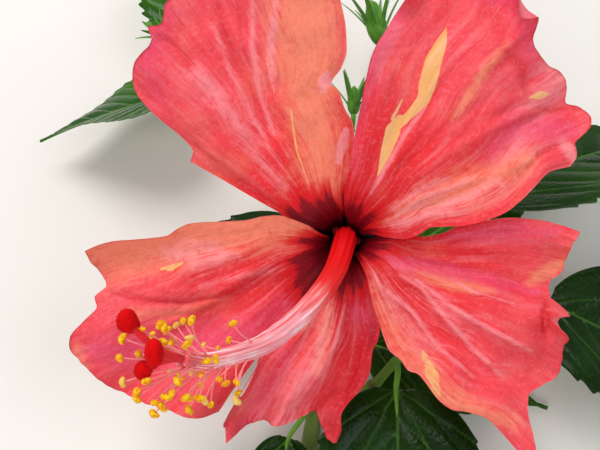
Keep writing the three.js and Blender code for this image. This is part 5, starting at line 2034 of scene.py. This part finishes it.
@dataclass(frozen=True)
class Leaf:
    """One leaf: its limb and place on it, the blade's base, tip, width, arch, roll and freshness."""

    number: int
    on: Limb
    at: float
    base: tuple[float, float, float]
    tip: tuple[float, float, float]
    width: float
    arch: float
    roll: float
    fresh: float = 0.1
    rows: int = 132
    columns: int = 61
    fold: float = 0.16
    wave: float = 1.6
    teeth: int = 15
    tooth_depth: float = 0.075
    thick: float = 0.5
    vein_pitch: float = 0.125
    petiole: float = 1.05
    stalk_rings: int = 70
    stalk_sides: int = 18
    basal: tuple[float, ...] = (0.62,)

    def line(self, t: Array) -> Array:
        """Give the midrib's points."""
        base, tip = np.array(self.base, float), np.array(self.tip, float)
        return bow(base, lerp(base, tip, 0.5) + UP * 2 * self.arch, tip, t)

    def across(self, ahead: Array) -> Array:
        """Give the blade's direction across, rolled about the midrib."""
        side, roll = unit(np.cross(UP, ahead)), math.radians(self.roll)
        return side * math.cos(roll) + np.cross(ahead, side) * math.sin(roll)

    def half_width(self, t: Array) -> Array:
        """Give half the blade's width, before its teeth."""
        ovate = np.sin(math.pi * np.minimum(t + 0.012, 0.985) ** 0.62) ** (0.8 + 0.7 * t)
        return self.width / 2 * np.maximum(ovate, 0.03)

    def veins(self, t: Array, c: Array, half: Array, length: float) -> tuple[Array, Array]:
        """Work out how near each place is to a vein.

        Args:
            t: how far along the blade.
            c: how far across, -1 to 1.
            half: half the width there.
            length: the blade's length.

        Returns:
            The veins' field, 1 on a vein, and the swell of the blade between them.
        """
        x = np.abs(c) * half
        y = t * length
        rib = np.exp(-((x / lerp(0.85, 0.3, t)) ** 2))
        pitch = self.vein_pitch * length
        climb = y - x * 0.95 - 0.012 * x**2 + np.sign(c) * pitch * 0.22
        phase = climb / pitch
        gap = np.abs(phase - np.round(phase)) * pitch * 0.72
        reach = smooth((1.02 - np.abs(c)) * 6)
        side = np.exp(-((gap / lerp(0.45, 0.25, np.abs(c))) ** 2)) * reach * smooth(phase + 0.6)
        between = np.abs(np.sin(math.pi * phase)) ** 0.7
        basal = np.zeros(t.shape)
        for k, slope in enumerate(self.basal):
            low = np.abs(y * slope - x) / math.hypot(1, slope)
            basal = np.maximum(basal, np.exp(-((low / 0.5) ** 2)) * smooth((0.62 - 0.2 * k - t) * 5))
        swell = between * smooth(x / 4) * smooth((1 - np.abs(c)) * 5)
        return np.clip(rib + 0.75 * side + 0.8 * basal, 0, 1), swell

    def body(self) -> list[Body]:
        """Build the blade and its stalk.

        Returns:
            The two closed bodies.
        """
        t = (np.linspace(0, 1, self.rows) ** 0.94)[:, None] * np.ones((1, self.columns))
        c = np.sign(np.linspace(-1, 1, self.columns)) * np.abs(np.linspace(-1, 1, self.columns)) ** 0.9
        c = np.ones((self.rows, 1)) * c[None, :]
        line = self.line(t[:, 0])
        ahead = unit(np.gradient(line, axis=0))
        side = self.across(ahead)
        normal = np.cross(ahead, side)
        length = float(np.linalg.norm(np.diff(line, axis=0), axis=1).sum())
        half = self.half_width(t)
        saw = (t * self.teeth + 0.18 * np.sign(c)) % 1
        tooth = smooth(saw * 1.15) * (1 - smooth((saw - 0.86) / 0.14)) - 0.35
        reach = half * (1 + tooth * self.tooth_depth * smooth((t - 0.12) * 8) * np.abs(c) ** 6)
        veins, swell = self.veins(t, c, half, length)
        wave = self.wave * np.sin(t * 9 + c * 1.4 + self.width) * c * c * np.sin(math.pi * t)
        droop = 0.5 * ripple(c * 20, t * 60, self.number * 7, (14, 30), 1.2) * np.abs(c)
        lift = self.fold * np.abs(c) * reach + wave + droop + 0.42 * swell - 0.3 * veins * (t < 0.98)
        middle = line[:, None] + side[:, None] * (c * reach)[..., None] + normal[:, None] * lift[..., None]
        midrib = 0.9 * np.exp(-((c * half) ** 2)) * lerp(1, 0.2, t)
        thick = self.thick * (1 + midrib) * lerp(1, 0.6, np.abs(c))
        fields = {"vein": veins, "fresh": self.fresh, "stalk": 0.0}
        return [sheet_body(middle, thick, fields), self.stalk()]

    def stalk(self) -> Body:
        """Build the stalk, swollen where it leaves the limb.

        Returns:
            The closed stalk.
        """
        root = self.on.course().at(min(self.at, 1.0))
        base = np.array(self.base, float)
        course = stalk_course(root, base, self.line(np.array([0.1]))[0])
        gone = (float(self.on.radius(np.array(self.at))) * 0.75) / course.length
        share, scale = capped(gone, self.stalk_rings, (0.4, 0.9), (0.4,))
        turn, along = around(self.stalk_sides)[None], share[:, None]
        swell = 0.5 * np.exp(-(((along - gone) / 0.05) ** 2))
        radii = (self.petiole * lerp(1.1, 0.62, along) + swell + 0.05 * np.cos(4 * turn)) * scale[:, None]
        radii = radii * lerp(1, 0.35, smooth((along - 0.9) * 10))
        fields = {"vein": 0.0, "fresh": self.fresh, "stalk": 1.0, "under": 0.0}
        body = tube(*course.frames(share), radii, fields)
        size = sum(f.size for f in body.faces)
        strip = np.linspace(0, 1, size)
        body.uv = np.stack([0.992 + 0.006 * (strip * 97 % 1), strip], axis=1)
        return body


LEAVES = (
    Leaf(1, LEFT_TWIG, 0.97, (-48, 98, 20), (-80, 166, 0.8), 46, 8, 0, 0.5),
    Leaf(2, LEFT_TWIG, 0.74, (-54, 73, 22), (-117, 55, 12), 44, 3, 36, 0.55),
    Leaf(3, STEM, 0.81, (25, 9, 11), (82, 46, 2), 42, 2, -6, 0.5),
    Leaf(4, RIGHT_TWIG, 0.97, (54, 25, 22), (130, 59, 6), 50, 8, -24, 0.12),
    Leaf(5, RIGHT_TWIG, 0.8, (70, -14, 18), (134, -52, 0.8), 50, 8, -8, 0.02),
    Leaf(6, STEM, 0.76, (-13, 18, 10.5), (-67, -41.5, 0.8), 44, 8, 6, 0.05),
    Leaf(7, RIGHT_TWIG, 0.43, (16, -43, 21), (12, -128, 0.8), 50, 8, 4, 0.04, basal=(0.5, 1.35)),
    Leaf(8, STEM, 0.62, (10.5, -24, 3.6), (70, -46, 2), 34, 1.5, 0, 0.2),
    Leaf(9, STEM, 0.5, (-18, -56.5, 10), (-28, -98, 3), 22, 4, -6, 0.1),
)


@dataclass(frozen=True)
class Bud:
    """A green bud among narrow bracts: its limb and place on it, foot, aim and sizes."""

    node: str
    on: Limb
    at: float
    foot: tuple[float, float, float]
    aim: tuple[float, float, float]
    length: float
    bracts: int
    bract_length: float
    stalk: float

    def heart(self) -> Body:
        """Build the closed bud, with five ribs that meet in a point.

        Returns:
            The bud.
        """
        rows, count = 60, 40
        t = np.linspace(0.004, 0.996, rows)
        aim = unit(np.array(self.aim, float))
        side = unit(np.cross([1, 0.2, 0], aim))
        up = np.cross(aim, side)
        turn = around(count)[None]
        swell = self.length * (0.08 + 0.14 * np.sin(math.pi * t**0.7)) * smooth((1 - t) * 7) ** 0.6
        radii = swell[:, None] * (1 + 0.07 * np.cos(5 * turn + t[:, None] * 1.2))
        centres = np.array(self.foot, float) + aim * (t * self.length)[:, None]
        fields = {"along": t[:, None] * 0.8, "across": np.cos(5 * turn)}
        return tube(centres, np.tile(side, (rows, 1)), np.tile(up, (rows, 1)), radii, fields)

    def build(self, here: Setting) -> None:
        """Build the bud, its bracts and its stalk as one piece.

        Args:
            here: the branch's frame and the finishes.
        """
        aim, foot = unit(np.array(self.aim, float)), np.array(self.foot, float)
        root = self.on.course().at(min(self.at, 1.0))
        course = stalk_course(root, foot, foot + aim * 2)
        gone = float(self.on.radius(np.array(self.at))) * 0.8 / course.length
        share, scale = capped(gone, 60, (0.5,), (0.5,))
        swell = 0.5 * np.exp(-(((share - gone) / 0.06) ** 2)) + 0.4 * np.exp(-(((share - 1) / 0.1) ** 2))
        radii = np.repeat(((self.stalk * 0.92 + swell) * scale)[:, None], 18, axis=1)
        fields = {"along": share[:, None] * 0.6, "across": 0.2}
        bodies = [tube(*course.frames(share), radii, fields), self.heart()]
        for k, out in enumerate(ring_directions(aim, self.bracts, 0.3)):
            length = self.bract_length * lerp(0.75, 1, scatter(k, 5))
            start = foot + out * 0.8 + aim * 0.8
            bodies.append(bract(start, aim, out, length, 2.3, lerp(0.35, 0.75, scatter(k, 6))))
        write_piece(self.node + "_green", bodies, here.branch, here.finishes.bud, (self.node,))


BUDS = (
    Bud("bud_top", STEM, 0.9, (19, 98, 19), (-0.22, 0.88, 0.42), 19, 9, 27, 1),
    Bud("bud_tip", STEM, 1.0, (7.8, 71, 7.2), (0.02, 0.86, 0.5), 12, 6, 25, 1.1),
    Bud("bud_left", LEFT_TWIG, 0.9, (-66, 90, 31), (-0.75, 0.35, 0.55), 10, 6, 14, 0.9),
)


@dataclass(frozen=True)
class Studio:
    """A plain pale floor under plain soft light."""

    floor_half: float = 2.5
    floor_drop: float = 0.0002
    floor_tones: tuple[Colour, Colour] = (srgb(226, 221, 214), srgb(232, 228, 222))
    aim_height: float = 0.03
    sky: Colour = srgb(236, 240, 246)
    sky_strength: float = 0.46
    lamps: tuple = (
        ("key", (-0.5, 0.9, 1.5), 1.1, 21.0, (1.0, 0.99, 0.97)),
        ("fill", (1.2, -0.3, 1.3), 1.2, 8.0, (0.95, 0.97, 1.0)),
        ("front", (-0.8, -1.1, 1.2), 1.2, 12.0, (1.0, 0.98, 0.96)),
    )

    def build(self) -> None:
        """Lay the floor, hang the lamps and light the sky."""
        half = self.floor_half
        corners = [(-half, -half, 0), (half, -half, 0), (half, half, 0), (-half, half, 0)]
        mesh = bpy.data.meshes.new("floor")
        mesh.from_pydata(corners, [], [(0, 1, 2, 3)])
        r = Recipe("floor_paper", 0.85, Specular_IOR_Level=0.2)
        r.colour(r.mix(r.noise(3.0, 3.0), *self.floor_tones))
        mesh.materials.append(r.material)
        floor = bpy.data.objects.new("floor", mesh)
        floor.location.z = -self.floor_drop
        bpy.context.scene.collection.objects.link(floor)
        for name, place, size, power, colour in self.lamps:
            data = bpy.data.lights.new(name, "AREA")
            data.shape, data.size, data.energy, data.color = "DISK", size, power, colour
            lamp = bpy.data.objects.new(name, data)
            lamp.location = place
            aim = np.array([0, 0, self.aim_height]) - np.array(place)
            tilt = math.acos(aim[2] / np.linalg.norm(aim)) + math.pi
            lamp.rotation_euler = (tilt, 0, math.atan2(aim[0], -aim[1]))
            bpy.context.scene.collection.objects.link(lamp)
        world = bpy.data.worlds.new("sky")
        world.use_nodes = True
        back = world.node_tree.nodes["Background"]
        back.inputs[0].default_value, back.inputs[1].default_value = self.sky, self.sky_strength
        bpy.context.scene.world = world
        bpy.context.scene.view_settings.view_transform = "Standard"


@dataclass(frozen=True)
class BloomStand:
    """Where the bloom stands on its stalk, and how it leans."""

    foot: tuple[float, float, float] = (0, 0, 40)
    lean_back: float = 23.6
    lean_left: float = 4.2

    def placing(self, branch: Placing) -> Placing:
        """Give the bloom's own frame.

        Args:
            branch: where the branch's frame is.

        Returns:
            Where the bloom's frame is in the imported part.
        """
        a, b = math.radians(self.lean_back), -math.radians(self.lean_left)
        about_x = np.array([[1, 0, 0], [0, math.cos(a), -math.sin(a)], [0, math.sin(a), math.cos(a)]])
        about_y = np.array([[math.cos(b), 0, math.sin(b)], [0, 1, 0], [-math.sin(b), 0, math.cos(b)]])
        return Placing(about_x @ about_y, branch.shift + np.array(self.foot, float))


def branch_placing() -> Placing:
    """Find the branch's own frame from the mount on the stem's cut end."""
    mount = next(m for m in frame["record"]["mounts"] if m["name"] == "cut_end")
    return Placing(np.eye(3), np.array(mount["pos_m"]) * 1000 - np.array(STEM.path[0], float))


def main() -> None:
    """Build the branch from its stems to its bloom."""
    logging.basicConfig(level=logging.INFO, format="%(message)s")
    branch = branch_placing()
    sight = Sight()
    sight.stand(branch)
    Studio().build()
    finishes = Finishes.laid_out()
    here = Setting(sight, branch, BloomStand().placing(branch), finishes)
    for limb in (STEM, LEFT_TWIG, RIGHT_TWIG):
        name = limb.node + "_bark"
        write_piece(name, [limb.body()], branch, finishes.bark, (limb.node,), limb.crease)
    for leaf in LEAVES:
        node = f"leaf_{leaf.number:02d}"
        write_piece(node + "_blade", leaf.body(), branch, finishes.leaf, (node,))
    for group in (*BUDS, Corolla(), StamenColumn(), Calyx()):
        group.build(here)


if __name__ == "__main__":
    main()
